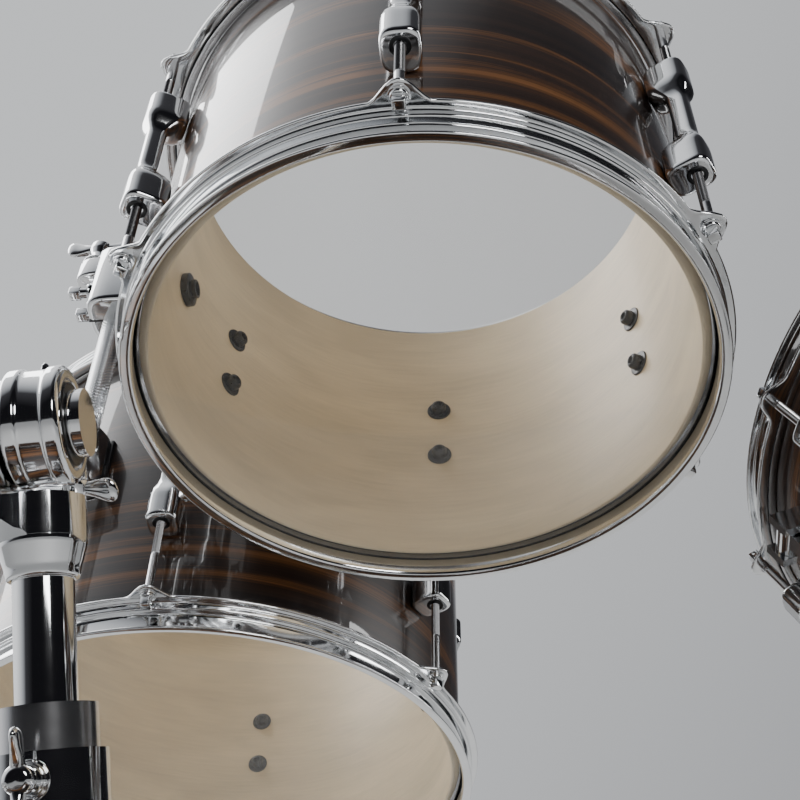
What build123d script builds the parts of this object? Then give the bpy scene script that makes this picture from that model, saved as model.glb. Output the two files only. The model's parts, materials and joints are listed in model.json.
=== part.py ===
"""Acoustic drum kit: a 20 inch bass drum carrying two mounted toms on a holder post, and a
snare drum on its folding stand.  Millimetres, +Z up, +Y towards the player.

Each drum is drawn in its own frame: Z runs from the lower (resonant) bearing edge to the
batter edge, X is the level direction nearest to world X, and angles are counted from X.
"""
import os
from math import cos, radians, sin

from build123d import *

os.makedirs("parts", exist_ok=True)

INCH = 25.4

# ---- drums: diameter, depth, lug count --------------------------------------------------
BASS_DIAMETER = 20 * INCH
BASS_DEPTH = 16 * INCH
BASS_LUGS = 8
BASS_WALL = 7.5
TOM12_DIAMETER = 12 * INCH
TOM12_DEPTH = 8 * INCH
TOM14_DIAMETER = 14 * INCH
TOM14_DEPTH = 10 * INCH
TOM_LUGS = 6
TOM_WALL = 6.0
SNARE_DIAMETER = 14 * INCH
SNARE_DEPTH = 5.5 * INCH
SNARE_LUGS = 10
SNARE_WALL = 7.0

# ---- places ------------------------------------------------------------------------------
BASS_FRONT_Y = -190.0                    # front bearing edge, the holder post stands at x = y = 0
TOM12_CENTRE = (188.4, 65.7, 744.4)      # centre of the lower bearing edge
TOM14_CENTRE = (9.4, 347.0, 565.2)
TOM_TILT = 29.5                          # lean of a tom's axis from upright, degrees
TOM_HEADING = 10.6                       # turn of that lean from +Y towards +X
SNARE_CENTRE = (600.0, 120.0, 632.0)
SNARE_TILT = 44.5
SNARE_HEADING = -24.4

# ---- heads and hoops ---------------------------------------------------------------------
FILM = 0.5                               # head film
COLLAR_GAP = 0.4                         # shell to head collar
FLESH_HOOP = 5.5                         # outer edge of the head's own ring, beyond the shell
FLESH_TOP = -4.0                         # heights from the bearing edge, outwards positive
FLESH_FOOT = -9.0
STEEL = 2.2                              # pressed hoop wall
HOOP_GAP = 0.4
HOOP_LIP = 12.0                          # lip height beyond the head
HOOP_FLANGE = 13.0                       # outer edge of the flange, beyond the shell
EAR_RADIUS = 8.5
WOOD_HOOP_WALL = 14.0                    # bass hoop: outer face beyond the shell
WOOD_HOOP_OUT = 26.0
WOOD_HOOP_IN = -12.0

# ---- tension rods, lugs and their bolts --------------------------------------------------
ROD_OFFSET = 15.6                        # rod line beyond the shell
BASS_ROD_OFFSET = 24.0
ROD_RADIUS = 2.8
ROD_CLEARANCE = 0.35
ROD_HEAD = 6.4                           # square key head, across flats
ROD_HEAD_HEIGHT = 8.0
WASHER_RADIUS = 5.5
WASHER_THICK = 1.6
ROD_GRIP = 16.0                          # rod length inside its lug
LUG_WIDTH = 21.0
LUG_BLOCK = 28.0                         # length of each end block
LUG_WAIST = 6.5                          # radius of the bridge between the blocks
LUG_SHELL_GAP = 0.4
LUG_COVER = 9.0                          # lug metal beyond the rod line
BOLT_RADIUS = 2.5
BOLT_HOLE = 2.9
BOLT_HEAD_RADIUS = 4.6
BOLT_HEAD_HEIGHT = 4.5
BOLT_WASHER_RADIUS = 8.0
BOLT_DEPTH_IN_LUG = 5.0
BOLT_SPACING = 41.0                      # between a lug's two bolts, along the shell
VENT_HOLE = 6.3

# ---- holder ------------------------------------------------------------------------------
POST_RADIUS = 14.3
POST_FOOT_Z = 440.0
HEAD_Y = -18.0                           # axle line of the two tilters
HEAD_Z = 714.4
FIT = 0.05                               # radial clearance of a shaft in its bore
AXLE_RADIUS = 8.0
TILTER_RADIUS = 28.0
TILTER_WIDTH = 28.0
TILTER_GAP = 0.6
ARM_RADIUS = 6.35                        # L-rod
ARM_OFFSET = 26.5                        # L-rod line beyond the tom's shell
ARM_BEND = 24.0
ARM_SEAT = 32.0                          # rod end from the tilter's axle
TILTER_REACH = 54.0
TILTER_BLOCK = 26.0
TOM12_BRACKET_ANGLE = 180.0
TOM12_BRACKET_S = 62.0                   # bracket's lower face along the drum
TOM12_BEND_S = -30.0
TOM14_BRACKET_ANGLE = 248.0
TOM14_BRACKET_S = 110.0
TOM14_BEND_S = 30.0
BRACKET_LENGTH = 50.0
BRACKET_WIDTH = 34.0
BRACKET_WALL = 9.0
WING_OFFSET = 20.0                       # wing bolt line beyond the L-rod line
WING_SHANK = 4.0
WING_SPAN = 44.0
SOCKET_RADIUS = 21.0
SOCKET_LOW_Z = 664.0
SOCKET_TOP_Z = 684.0
BASE_WIDTH = 76.0
BASE_LENGTH = 92.0
BASE_PLATE = 8.0
BASE_TOWER_RADIUS = 27.0
BASE_TOWER = 46.0                        # tower height above the shell's crown
COLLAR_RADIUS = 23.0
COLLAR_HEIGHT = 20.0

# ---- spurs -------------------------------------------------------------------------------
SPUR_Y = -96.0
SPUR_PLANE = 38.0                        # spur line beyond the shell
SPUR_RADIUS = 7.5
SPUR_RAKE = 30.0                         # forward rake, degrees
SPUR_FOOT_RADIUS = 11.0
SPUR_FOOT_HEIGHT = 26.0
SPUR_PIVOT = 7.0
SPUR_HUB = 19.0

# ---- snare stand -------------------------------------------------------------------------
BASKET_DROP = 60.0                       # arm hub below the snare's lower edge
BASKET_PIVOT = 96.0                      # tilt axle below the snare's lower edge
BASKET_WIRE = 5.0
BASKET_HUB = 17.0
STAND_TUBE = 9.5
STAND_SLEEVE = 12.7
STAND_TUBE_LOW_Z = 210.0
STAND_SLEEVE_TOP_Z = 360.0
STAND_HUB_Z = 52.0
LEG_RADIUS = 7.0
LEG_SPREAD = 235.0
LEG_FOOT_RADIUS = 12.0
LEG_FOOT_HEIGHT = 20.0
LEG_HINGE_R = 26.0
LEG_PIN = 3.0
LEG_ANGLES = (30.0, 150.0, 270.0)
LEG_EYE = 8.0
BASKET_CORNER = -14.6                    # height of the arms' corner, just under the hoop's lip
BASKET_FINGER = 18.0                     # finger line beyond the snare's shell
BASKET_ANGLES = (0.0, 120.0, 240.0)
EYE_RADIUS = 11.0                        # eye that the basket tilts on
EYE_HALF = 6.0
EAR_THICK = 5.0
TILT_PIN = 5.0
FORK_DROP = 34.0
SLEEVE_BORE_Z = 100.0

# ---- claws, strainer and snare wires -----------------------------------------------------
CLAW_WIDTH = 22.0
CLAW_PLATE = 3.0
CLAW_EAR = -4.0                          # height of the claw's ear, from the bearing edge
CLAW_REACH = 6.5                         # ear beyond the rod line
CLAW_LIP = 6.0                           # hook over the hoop's face
STRAINER_ANGLE = 180.0
STRAINER_WIDTH = 26.0
STRAINER_LOW = 22.0                      # heights above the snare's lower edge
STRAINER_HIGH = 92.0
STRAINER_DEPTH = 16.0
LEVER_HEIGHT = 84.0
LEVER_OFFSET = 24.0                      # lever pin beyond the snare's shell
LEVER_LENGTH = 52.0
LEVER_EYE = 6.5
LEVER_HALF = 8.0
LEVER_PIN = 3.0
BUTT_HIGH = 66.0
BUTT_DEPTH = 18.0
WIRE_INSET = 30.0                        # end plates inside the snare's shell
WIRE_PLATE = 8.0
WIRE_PLATE_HALF = 21.0
WIRE_DROP = 2.0                          # wires below the lower head
WIRE_PITCH = 4.8
WIRE_RADIUS = 0.8
WIRES_PER_SIDE = 4


# ---- helpers -----------------------------------------------------------------------------
def turned(points):
    """Solid turned about local Z from a closed outline of (radius, height) points."""
    outline = Polyline([(r, 0, z) for r, z in points], close=True)
    return revolve(make_face(outline), Axis.Z)


def rod(start, end, radius):
    """Round bar between two points."""
    direction = Vector(end) - Vector(start)
    return Plane(origin=start, z_dir=direction) * extrude(Circle(radius), direction.length)


def block(low, high):
    """Box between two corners."""
    size = [b - a for a, b in zip(low, high)]
    centre = [(a + b) / 2 for a, b in zip(low, high)]
    return Pos(*centre) * Box(*size)


def bent_rod(points, bend, radius):
    """Round bar along straight runs joined by tangent arcs."""
    path = FilletPolyline(*points, radius=bend)
    section = Plane(origin=path @ 0, z_dir=path % 0) * Circle(radius)
    return sweep(section, path)


def leaning_axis(tilt, heading):
    """Unit vector leaning by tilt from upright, towards heading from +Y to +X."""
    flat = sin(radians(tilt))
    return Vector(flat * sin(radians(heading)), flat * cos(radians(heading)), cos(radians(tilt)))


def drum_frame(centre, axis):
    """Frame of a drum: Z along its axis, X the direction nearest to world X."""
    level = Vector(1, 0, 0) - axis * axis.X
    return Plane(origin=centre, x_dir=level, z_dir=axis)


def around(count, first=None):
    """Angles of a ring of lugs; the first stands half a pitch from X."""
    start = 180 / count if first is None else first
    return [start + 360 * k / count for k in range(count)]


def mirrored_edge(height):
    """Map outward heights at the batter edge onto the drum's Z."""
    return lambda points: [(r, height + z) for r, z in points]


def lower_edge(points):
    """Map outward heights at the lower edge onto the drum's Z."""
    return [(r, -z) for r, z in points]


# ---- pieces of a drum --------------------------------------------------------------------
def make_shell(radius, depth, wall, bolt_angles, bolt_heights, vent_angle):
    """Ply shell with chamfered bearing edges, lug bolt holes and one air vent."""
    inner = radius - wall
    edge = 2.0
    shell = turned([(inner, 0), (inner + edge, 0), (radius, wall - edge), (radius, depth - wall + edge),
                    (inner + edge, depth), (inner, depth)])
    for angle in bolt_angles:
        for height in bolt_heights:
            drill = Pos(inner - 1, 0, height) * Rot(0, 90, 0) * extrude(Circle(BOLT_HOLE), wall + 2)
            shell -= Rot(0, 0, angle) * drill
    if vent_angle is not None:
        vent = Pos(inner - 1, 0, depth / 2) * Rot(0, 90, 0) * extrude(Circle(VENT_HOLE), wall + 2)
        shell -= Rot(0, 0, vent_angle) * vent
    return shell


def head_outline(radius):
    """Film, collar and flesh hoop, as heights outwards from the bearing edge."""
    return [(0, 0), (radius + COLLAR_GAP, 0), (radius + COLLAR_GAP, FLESH_FOOT),
            (radius + FLESH_HOOP, FLESH_FOOT), (radius + FLESH_HOOP, FLESH_TOP),
            (radius + COLLAR_GAP + FILM, FLESH_TOP), (radius + COLLAR_GAP + FILM, FILM), (0, FILM)]


def steel_hoop_outline(radius):
    """Triple-flanged section: flange, wall round the flesh hoop, seat, collar and lip."""
    wall = radius + FLESH_HOOP + HOOP_GAP
    collar = radius + COLLAR_GAP + FILM + HOOP_GAP
    seat = FLESH_TOP
    return [(wall, FLESH_FOOT), (radius + HOOP_FLANGE, FLESH_FOOT),
            (radius + HOOP_FLANGE, FLESH_FOOT + STEEL), (wall + STEEL, FLESH_FOOT + STEEL),
            (wall + STEEL, seat + STEEL), (collar + STEEL, seat + STEEL),
            (collar + STEEL, HOOP_LIP - STEEL), (collar + 2.4 * STEEL, HOOP_LIP - 0.4 * STEEL),
            (collar + 2.0 * STEEL, HOOP_LIP), (collar + 0.6 * STEEL, HOOP_LIP - 0.5),
            (collar, HOOP_LIP - 1.2 * STEEL), (collar, seat), (wall, seat)]


def wood_hoop_outline(radius):
    """Flat wooden hoop with a rebate that seats on the flesh hoop."""
    wall = radius + FLESH_HOOP + HOOP_GAP
    collar = radius + COLLAR_GAP + FILM + HOOP_GAP
    outer = radius + WOOD_HOOP_WALL
    return [(wall, WOOD_HOOP_IN), (outer, WOOD_HOOP_IN), (outer, WOOD_HOOP_OUT),
            (collar, WOOD_HOOP_OUT), (collar, FLESH_TOP), (wall, FLESH_TOP)]


def add_ears(hoop, radius, angles, low, high):
    """Round ears on a steel hoop's flange, each drilled for its tension rod."""
    line = radius + ROD_OFFSET
    wall = radius + FLESH_HOOP + HOOP_GAP
    for angle in angles:
        ear = Pos(line, 0, low) * extrude(Circle(EAR_RADIUS), high - low)
        ear -= block((0, -EAR_RADIUS, low), (wall + STEEL / 2, EAR_RADIUS, high))
        hoop += Rot(0, 0, angle) * ear
    for angle in angles:
        drill = Pos(line, 0, low - 1) * extrude(Circle(ROD_RADIUS + ROD_CLEARANCE), high - low + 2)
        hoop -= Rot(0, 0, angle) * drill
    return hoop


def make_lug(radius, low, high, line, bolt_heights):
    """Bridge lug: two end blocks joined by a slim waist, bored for both rods and its bolts."""
    base = radius + LUG_SHELL_GAP
    top = line + LUG_COVER
    half = LUG_WIDTH / 2
    body = block((base, -half, low), (top, half, low + LUG_BLOCK))
    body += block((base, -half, high - LUG_BLOCK), (top, half, high))
    body = fillet(body.edges().filter_by(Axis.Z).group_by(Axis.X)[-1], LUG_COVER - 2)
    body += Pos(line, 0, low + 1) * extrude(Circle(LUG_WAIST), high - low - 2)
    bore = ROD_RADIUS + ROD_CLEARANCE
    for end, direction in ((low, 1), (high, -1)):
        body -= Pos(line, 0, end) * extrude(Circle(bore), direction * (ROD_GRIP + 2))
    for height in bolt_heights:
        hole = Pos(base - 1, 0, height) * Rot(0, 90, 0)
        body -= hole * extrude(Circle(BOLT_RADIUS + FIT), BOLT_DEPTH_IN_LUG + 1.5)
    return body


def make_rod(line, seat, lug_end, outward):
    """Square-headed tension rod with its washer; seat is the face it pulls on."""
    shaft_end = lug_end - outward * ROD_GRIP
    washer = Pos(line, 0, seat) * extrude(Circle(WASHER_RADIUS), outward * WASHER_THICK)
    head_z = seat + outward * (WASHER_THICK + ROD_HEAD_HEIGHT / 2)
    head = Pos(line, 0, head_z) * Box(ROD_HEAD, ROD_HEAD, ROD_HEAD_HEIGHT)
    low, high = sorted((shaft_end, seat))
    shaft = Pos(line, 0, low) * extrude(Circle(ROD_RADIUS), high - low)
    return shaft + washer + head


def make_bolt(inner, radius, height):
    """Lug bolt with its washer inside the shell, its shank reaching the lug."""
    reach = radius + LUG_SHELL_GAP + BOLT_DEPTH_IN_LUG
    washer_in = inner - 1.2
    shank = rod((washer_in, 0, height), (reach, 0, height), BOLT_RADIUS)
    washer = rod((washer_in - 1.2, 0, height), (washer_in, 0, height), BOLT_WASHER_RADIUS)
    head = rod((washer_in - 1.2 - BOLT_HEAD_HEIGHT, 0, height), (washer_in - 1.2, 0, height),
               BOLT_HEAD_RADIUS)
    return shank + washer + head


def group(solids):
    """Identical pieces that share one node."""
    return Compound(children=[s.solid() for s in solids])


def drum_set(name, frame, radius, depth, wall, lugs, lug_length, vent_angle, bolts=True):
    """All nodes of one drum with pressed steel hoops."""
    middle = depth / 2
    heights = (middle - BOLT_SPACING / 2, middle + BOLT_SPACING / 2) if bolts else ()
    low, high = middle - lug_length / 2, middle + lug_length / 2
    line = radius + ROD_OFFSET
    angles = around(lugs)
    at_batter = mirrored_edge(depth)
    hoop = steel_hoop_outline(radius)
    flange = (FLESH_FOOT, FLESH_FOOT + STEEL)
    pieces = {
        "shell": make_shell(radius, depth, wall, angles, heights, vent_angle),
        "batter_head": turned(at_batter(head_outline(radius))),
        "lower_head": turned(lower_edge(head_outline(radius))),
        "batter_hoop": add_ears(turned(at_batter(hoop)), radius, angles,
                                depth + flange[0], depth + flange[1]),
        "lower_hoop": add_ears(turned(lower_edge(hoop)), radius, angles, -flange[1], -flange[0]),
    }
    lug = make_lug(radius, low, high, line, heights)
    top_rod = make_rod(line, depth + flange[1] + 0.1, high, 1)
    low_rod = make_rod(line, -flange[1] - 0.1, low, -1)
    pieces["lugs"] = group([Rot(0, 0, a) * lug for a in angles])
    pieces["tension_rods"] = group([Rot(0, 0, a) * r for a in angles for r in (top_rod, low_rod)])
    if bolts:
        bolt_pair = [make_bolt(radius - wall, radius, h) for h in heights]
        pieces["lug_bolts"] = group([Rot(0, 0, a) * b for a in angles for b in bolt_pair])
    return {f"{name}_{key}": frame.location * shape for key, shape in pieces.items()}


# ---- bass drum ---------------------------------------------------------------------------
bass_radius = BASS_DIAMETER / 2
bass_axis_z = bass_radius + WOOD_HOOP_WALL
bass_frame = Plane(origin=(0, BASS_FRONT_Y, bass_axis_z), x_dir=(1, 0, 0), z_dir=(0, 1, 0))
bass_line = bass_radius + BASS_ROD_OFFSET
bass_lug_length = 190.0
bass_angles = around(BASS_LUGS)
bass_middle = BASS_DEPTH / 2
bass_lug_low = bass_middle - bass_lug_length / 2
bass_lug_high = bass_middle + bass_lug_length / 2


def claw_outline():
    """Side outline of a claw hook over the wooden hoop, as (radius, outward height)."""
    outer = bass_radius + WOOD_HOOP_WALL + HOOP_GAP
    return [(outer - CLAW_LIP, WOOD_HOOP_OUT + 0.2), (outer, WOOD_HOOP_OUT + 0.2), (outer, CLAW_EAR),
            (bass_line + CLAW_REACH, CLAW_EAR), (bass_line + CLAW_REACH, CLAW_EAR + CLAW_PLATE),
            (outer + CLAW_PLATE, CLAW_EAR + CLAW_PLATE),
            (outer + CLAW_PLATE, WOOD_HOOP_OUT + CLAW_PLATE), (outer - CLAW_LIP, WOOD_HOOP_OUT + CLAW_PLATE)]


def make_claw(outline):
    """Claw hook bent from plate, drilled for its rod."""
    face = make_face(Polyline([(r, 0, z) for r, z in outline], close=True))
    claw = extrude(face, CLAW_WIDTH / 2, dir=(0, 1, 0), both=True)
    heights = [z for _, z in outline]
    drill = Pos(bass_line, 0, min(heights) - 1) * extrude(Circle(ROD_RADIUS + ROD_CLEARANCE),
                                                         max(heights) - min(heights) + 2)
    return claw - drill


parts = {}
bass_shell = make_shell(bass_radius, BASS_DEPTH, BASS_WALL, (), (), None)
post_hole = Pos(0, 0, -BASS_FRONT_Y) * Rot(90, 0, 0) * extrude(Circle(POST_RADIUS + 2.5), bass_radius + 5)
bass_shell -= post_hole
parts["bass_shell"] = bass_frame.location * bass_shell
bass_head = head_outline(bass_radius)
bass_hoop = wood_hoop_outline(bass_radius)
bass_batter = mirrored_edge(BASS_DEPTH)
parts["bass_batter_head"] = bass_frame.location * turned(bass_batter(bass_head))
parts["bass_front_head"] = bass_frame.location * turned(lower_edge(bass_head))
parts["bass_batter_hoop"] = bass_frame.location * turned(bass_batter(bass_hoop))
parts["bass_front_hoop"] = bass_frame.location * turned(lower_edge(bass_hoop))
bass_lug = make_lug(bass_radius, bass_lug_low, bass_lug_high, bass_line, ())
parts["bass_lugs"] = bass_frame.location * group([Rot(0, 0, a) * bass_lug for a in bass_angles])
batter_claw = make_claw(bass_batter(claw_outline()))
front_claw = make_claw(lower_edge(claw_outline()))
parts["bass_claws"] = bass_frame.location * group([Rot(0, 0, a) * c for a in bass_angles
                                                   for c in (batter_claw, front_claw)])
claw_seat = CLAW_EAR + CLAW_PLATE + 0.1
bass_rods = (make_rod(bass_line, BASS_DEPTH + claw_seat, bass_lug_high, 1),
             make_rod(bass_line, -claw_seat, bass_lug_low, -1))
parts["bass_tension_rods"] = bass_frame.location * group([Rot(0, 0, a) * r for a in bass_angles
                                                          for r in bass_rods])

# ---- spurs: bracket on each side of the bass drum, leg folding about world X ----------------
spur_x = bass_radius + SPUR_PLANE
spur_reach = bass_axis_z / cos(radians(SPUR_RAKE))
spur_forward = Vector(0, -sin(radians(SPUR_RAKE)), -cos(radians(SPUR_RAKE)))


def bass_bar(back, length):
    """Bar a hair wider than the bass shell, from back towards the front, to cut castings with."""
    return Pos(0, back, bass_axis_z) * Rot(90, 0, 0) * extrude(Circle(bass_radius + LUG_SHELL_GAP), length)


def make_spur_bracket():
    """Cast bracket hugging the shell, with the pin that its spur turns on."""
    bracket = block((bass_radius - 12, SPUR_Y - 26, bass_axis_z - 30),
                    (spur_x - SPUR_HUB / 2 - 4.0, SPUR_Y + 26, bass_axis_z + 30))
    bracket -= bass_bar(SPUR_Y + 40, 80)
    bracket += rod((spur_x - SPUR_HUB / 2 - 5, SPUR_Y, bass_axis_z),
                   (spur_x + SPUR_HUB / 2 + 3, SPUR_Y, bass_axis_z), SPUR_PIVOT)
    return bracket


def make_spur():
    """Spur leg with the hub that turns on the bracket's pin, and its rubber foot."""
    pivot = Vector(spur_x, SPUR_Y, bass_axis_z)
    tip = pivot + spur_forward * spur_reach
    leg_end = pivot + spur_forward * (spur_reach - SPUR_FOOT_HEIGHT / 2)
    half = SPUR_HUB / 2
    hub = rod((spur_x - half, SPUR_Y, bass_axis_z), (spur_x + half, SPUR_Y, bass_axis_z), SPUR_HUB)
    leg = rod(pivot, leg_end, SPUR_RADIUS) + hub
    leg -= rod((spur_x - half - 1, SPUR_Y, bass_axis_z), (spur_x + half + 1, SPUR_Y, bass_axis_z),
               SPUR_PIVOT + FIT)
    foot = Pos(tip.X, tip.Y, 0) * extrude(Circle(SPUR_FOOT_RADIUS), SPUR_FOOT_HEIGHT)
    foot -= rod(pivot, leg_end, SPUR_RADIUS + FIT)
    return leg, foot


right_bracket = make_spur_bracket()
right_spur, right_foot = make_spur()
parts["spur_brackets"] = group([right_bracket, mirror(right_bracket, Plane.YZ)])
parts["right_spur"] = right_spur
parts["right_spur_foot"] = right_foot
parts["left_spur"] = mirror(right_spur, Plane.YZ)
parts["left_spur_foot"] = mirror(right_foot, Plane.YZ)

# ---- tom holder ----------------------------------------------------------------------------
crown_z = bass_axis_z + bass_radius
base_top_z = crown_z + BASE_TOWER
base = block((-BASE_WIDTH / 2, -BASE_LENGTH / 2, crown_z - 6),
             (BASE_WIDTH / 2, BASE_LENGTH / 2, crown_z + BASE_PLATE))
base += Pos(0, 0, crown_z) * extrude(Circle(BASE_TOWER_RADIUS), BASE_TOWER)
base -= bass_bar(BASE_LENGTH, 2 * BASE_LENGTH)
base -= Pos(0, 0, crown_z - 30) * extrude(Circle(POST_RADIUS + 0.4), BASE_TOWER + 60)
base_bolt_z = crown_z + 34.0
base_bolt_seat = -BASE_TOWER_RADIUS
base -= rod((0, 0, base_bolt_z), (0, -BASE_TOWER_RADIUS - 5, base_bolt_z), WING_SHANK + FIT)
parts["post_base"] = base
parts["post_collar"] = Pos(0, 0, base_top_z + 0.3) * (Cylinder(COLLAR_RADIUS, COLLAR_HEIGHT,
                                                              align=(Align.CENTER, Align.CENTER, Align.MIN))
                                                     - Cylinder(POST_RADIUS + FIT, 3 * COLLAR_HEIGHT))
parts["holder_post"] = Pos(0, 0, POST_FOOT_Z) * (extrude(Circle(POST_RADIUS), SOCKET_TOP_Z - 2 - POST_FOOT_Z)
                                                 - extrude(Circle(POST_RADIUS - 2),
                                                           SOCKET_TOP_Z - POST_FOOT_Z))


def make_wing_bolt(shank):
    """Wing bolt along local Z: shank below, washers at z = 0, hub and two wings above."""
    bolt = Pos(0, 0, -shank) * extrude(Circle(WING_SHANK), shank + 8)
    bolt += extrude(Circle(2.2 * WING_SHANK), 5)
    bolt += Pos(0, 0, 5) * extrude(Circle(1.7 * WING_SHANK), 14)
    bolt += block((-WING_SPAN / 2, -3.5, 12), (WING_SPAN / 2, 3.5, 26))
    return bolt


base_bolt_frame = Plane(origin=(0, base_bolt_seat - 0.3, base_bolt_z), x_dir=(0, 0, 1), z_dir=(0, -1, 0))
parts["base_wing_bolt"] = base_bolt_frame.location * make_wing_bolt(BASE_TOWER_RADIUS - POST_RADIUS - 0.6)

tom_axis = leaning_axis(TOM_TILT, TOM_HEADING)
tom12_frame = drum_frame(TOM12_CENTRE, tom_axis)
tom14_frame = drum_frame(TOM14_CENTRE, tom_axis)
tom12_radius = TOM12_DIAMETER / 2
tom14_radius = TOM14_DIAMETER / 2


def on_drum(frame, radius, angle, height):
    """World point at a radius, angle and height in a drum's frame."""
    local = Vector(radius * cos(radians(angle)), radius * sin(radians(angle)), height)
    return frame.from_local_coords(local)


def arm_points(frame, radius, angle, bend_s, tip_s):
    """The L-rod's three corners: its end in the tilter, the bend, and its tip on the drum."""
    line = radius + ARM_OFFSET
    bend = on_drum(frame, line, angle, bend_s)
    tip = on_drum(frame, line, angle, tip_s)
    axle = Vector(bend.X, HEAD_Y, HEAD_Z)
    reach = (bend - axle).normalized()
    return axle, axle + reach * ARM_SEAT, bend, tip, reach


def make_bracket(radius, seat_s):
    """Tom bracket in the drum's frame at angle 0: block, L-rod bore and ear for the wing bolt."""
    line = radius + ARM_OFFSET
    half = BRACKET_WIDTH / 2
    outer = line + ARM_RADIUS + BRACKET_WALL
    top = seat_s + BRACKET_LENGTH
    body = block((radius - 4, -half, seat_s), (outer, half, top))
    body = fillet(body.edges().filter_by(Axis.Z).group_by(Axis.X)[-1], 8)
    wing_line = line + WING_OFFSET
    body += block((outer - 12, -9, top - 16), (wing_line + 9, 9, top))
    body -= extrude(Circle(radius + LUG_SHELL_GAP), top + 10)
    body -= Pos(line, 0, seat_s - 1) * extrude(Circle(ARM_RADIUS + FIT), BRACKET_LENGTH + 2)
    body -= Pos(wing_line, 0, top - 17) * extrude(Circle(WING_SHANK + FIT), 20)
    return body


def make_tilter(axle, reach):
    """Tilter: a hub on the holder's axle with a split block that grips the L-rod."""
    frame = Plane(origin=axle, x_dir=(1, 0, 0), z_dir=Vector(1, 0, 0).cross(reach))
    half = TILTER_WIDTH / 2
    tilter = Rot(0, 90, 0) * Cylinder(TILTER_RADIUS, TILTER_WIDTH)
    side = TILTER_BLOCK / 2
    tilter += block((-side, 0, -side), (side, TILTER_REACH, side))
    tilter -= rod((-half - 1, 0, 0), (half + 1, 0, 0), AXLE_RADIUS + FIT)
    tilter -= rod((0, ARM_SEAT - 1, 0), (0, TILTER_REACH + 1, 0), ARM_RADIUS + FIT)
    return frame.location * tilter


arms = {}
tom_specs = (("tom12", tom12_frame, tom12_radius, TOM12_DEPTH,
              TOM12_BRACKET_ANGLE, TOM12_BRACKET_S, TOM12_BEND_S),
             ("tom14", tom14_frame, tom14_radius, TOM14_DEPTH,
              TOM14_BRACKET_ANGLE, TOM14_BRACKET_S, TOM14_BEND_S))
for name, frame, radius, depth, angle, seat_s, bend_s in tom_specs:
    parts.update(drum_set(name, frame, radius, depth, TOM_WALL, TOM_LUGS, 0.5 * depth, angle - 5.0))
    tip_s = seat_s + BRACKET_LENGTH + 10
    axle, seat, bend, tip, reach = arm_points(frame, radius, angle, bend_s, tip_s)
    arms[name] = {"axle": axle, "seat": seat, "bend": bend, "tip": tip, "reach": reach}
    parts[f"{name}_l_rod"] = bent_rod([seat, bend, tip], ARM_BEND, ARM_RADIUS)
    parts[f"{name}_tilter"] = make_tilter(axle, reach)
    turn = frame.location * Rot(0, 0, angle)
    parts[f"{name}_bracket"] = turn * make_bracket(radius, seat_s)
    wing_top = Pos(radius + ARM_OFFSET + WING_OFFSET, 0, seat_s + BRACKET_LENGTH + 0.3)
    parts[f"{name}_wing_bolt"] = turn * wing_top * make_wing_bolt(14.0)
    arms[name]["wing"] = on_drum(frame, radius + ARM_OFFSET + WING_OFFSET, angle, seat_s + BRACKET_LENGTH)

axle_left = arms["tom14"]["axle"].X - TILTER_WIDTH / 2 - TILTER_GAP
axle_right = arms["tom12"]["axle"].X + TILTER_WIDTH / 2 + TILTER_GAP
web_left = arms["tom14"]["axle"].X + TILTER_WIDTH / 2 + TILTER_GAP
web_right = arms["tom12"]["axle"].X - TILTER_WIDTH / 2 - TILTER_GAP
casting = Pos(0, 0, SOCKET_LOW_Z) * extrude(Circle(SOCKET_RADIUS), SOCKET_TOP_Z - SOCKET_LOW_Z)
casting += block((web_left, HEAD_Y - 20, SOCKET_LOW_Z + 4), (web_right, 12, HEAD_Z))
casting += rod((web_left, HEAD_Y, HEAD_Z), (web_right, HEAD_Y, HEAD_Z), 24)
casting -= Pos(0, 0, SOCKET_LOW_Z - 1) * extrude(Circle(POST_RADIUS + 0.02), SOCKET_TOP_Z - 1 - SOCKET_LOW_Z)
casting += rod((axle_left - 4, HEAD_Y, HEAD_Z), (axle_right + 4, HEAD_Y, HEAD_Z), AXLE_RADIUS)
for x, side in ((axle_left, -1), (axle_right, 1)):
    casting += rod((x, HEAD_Y, HEAD_Z), (x + side * 6, HEAD_Y, HEAD_Z), 2 * AXLE_RADIUS)
parts["holder_casting"] = casting

# ---- snare drum ------------------------------------------------------------------------------
snare_axis = leaning_axis(SNARE_TILT, SNARE_HEADING)
snare_frame = drum_frame(SNARE_CENTRE, snare_axis)
snare_radius = SNARE_DIAMETER / 2
parts.update(drum_set("snare", snare_frame, snare_radius, SNARE_DEPTH, SNARE_WALL, SNARE_LUGS,
                      0.42 * SNARE_DEPTH, None, bolts=False))


def strainer_block(height_low, height_high, depth):
    """Cast block on the snare's shell, at angle 0."""
    body = block((snare_radius - 4, -STRAINER_WIDTH / 2, height_low),
                 (snare_radius + depth, STRAINER_WIDTH / 2, height_high))
    return body - extrude(Circle(snare_radius + LUG_SHELL_GAP), SNARE_DEPTH)


def make_strainer():
    """Strainer block with the two ears and the pin that its lever turns on, at angle 0."""
    lever_line = snare_radius + LEVER_OFFSET
    half = STRAINER_WIDTH / 2
    slot = LEVER_HALF + 0.3
    strainer = strainer_block(STRAINER_LOW, STRAINER_HIGH, STRAINER_DEPTH)
    ears = block((lever_line - 12, -half, LEVER_HEIGHT - 8), (lever_line + 8, half, LEVER_HEIGHT + 8))
    ears -= block((lever_line - 8, -slot, LEVER_HEIGHT - 9), (lever_line + 9, slot, LEVER_HEIGHT + 9))
    pin = rod((lever_line, -half, LEVER_HEIGHT), (lever_line, half, LEVER_HEIGHT), LEVER_PIN)
    return strainer + ears + pin


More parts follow.
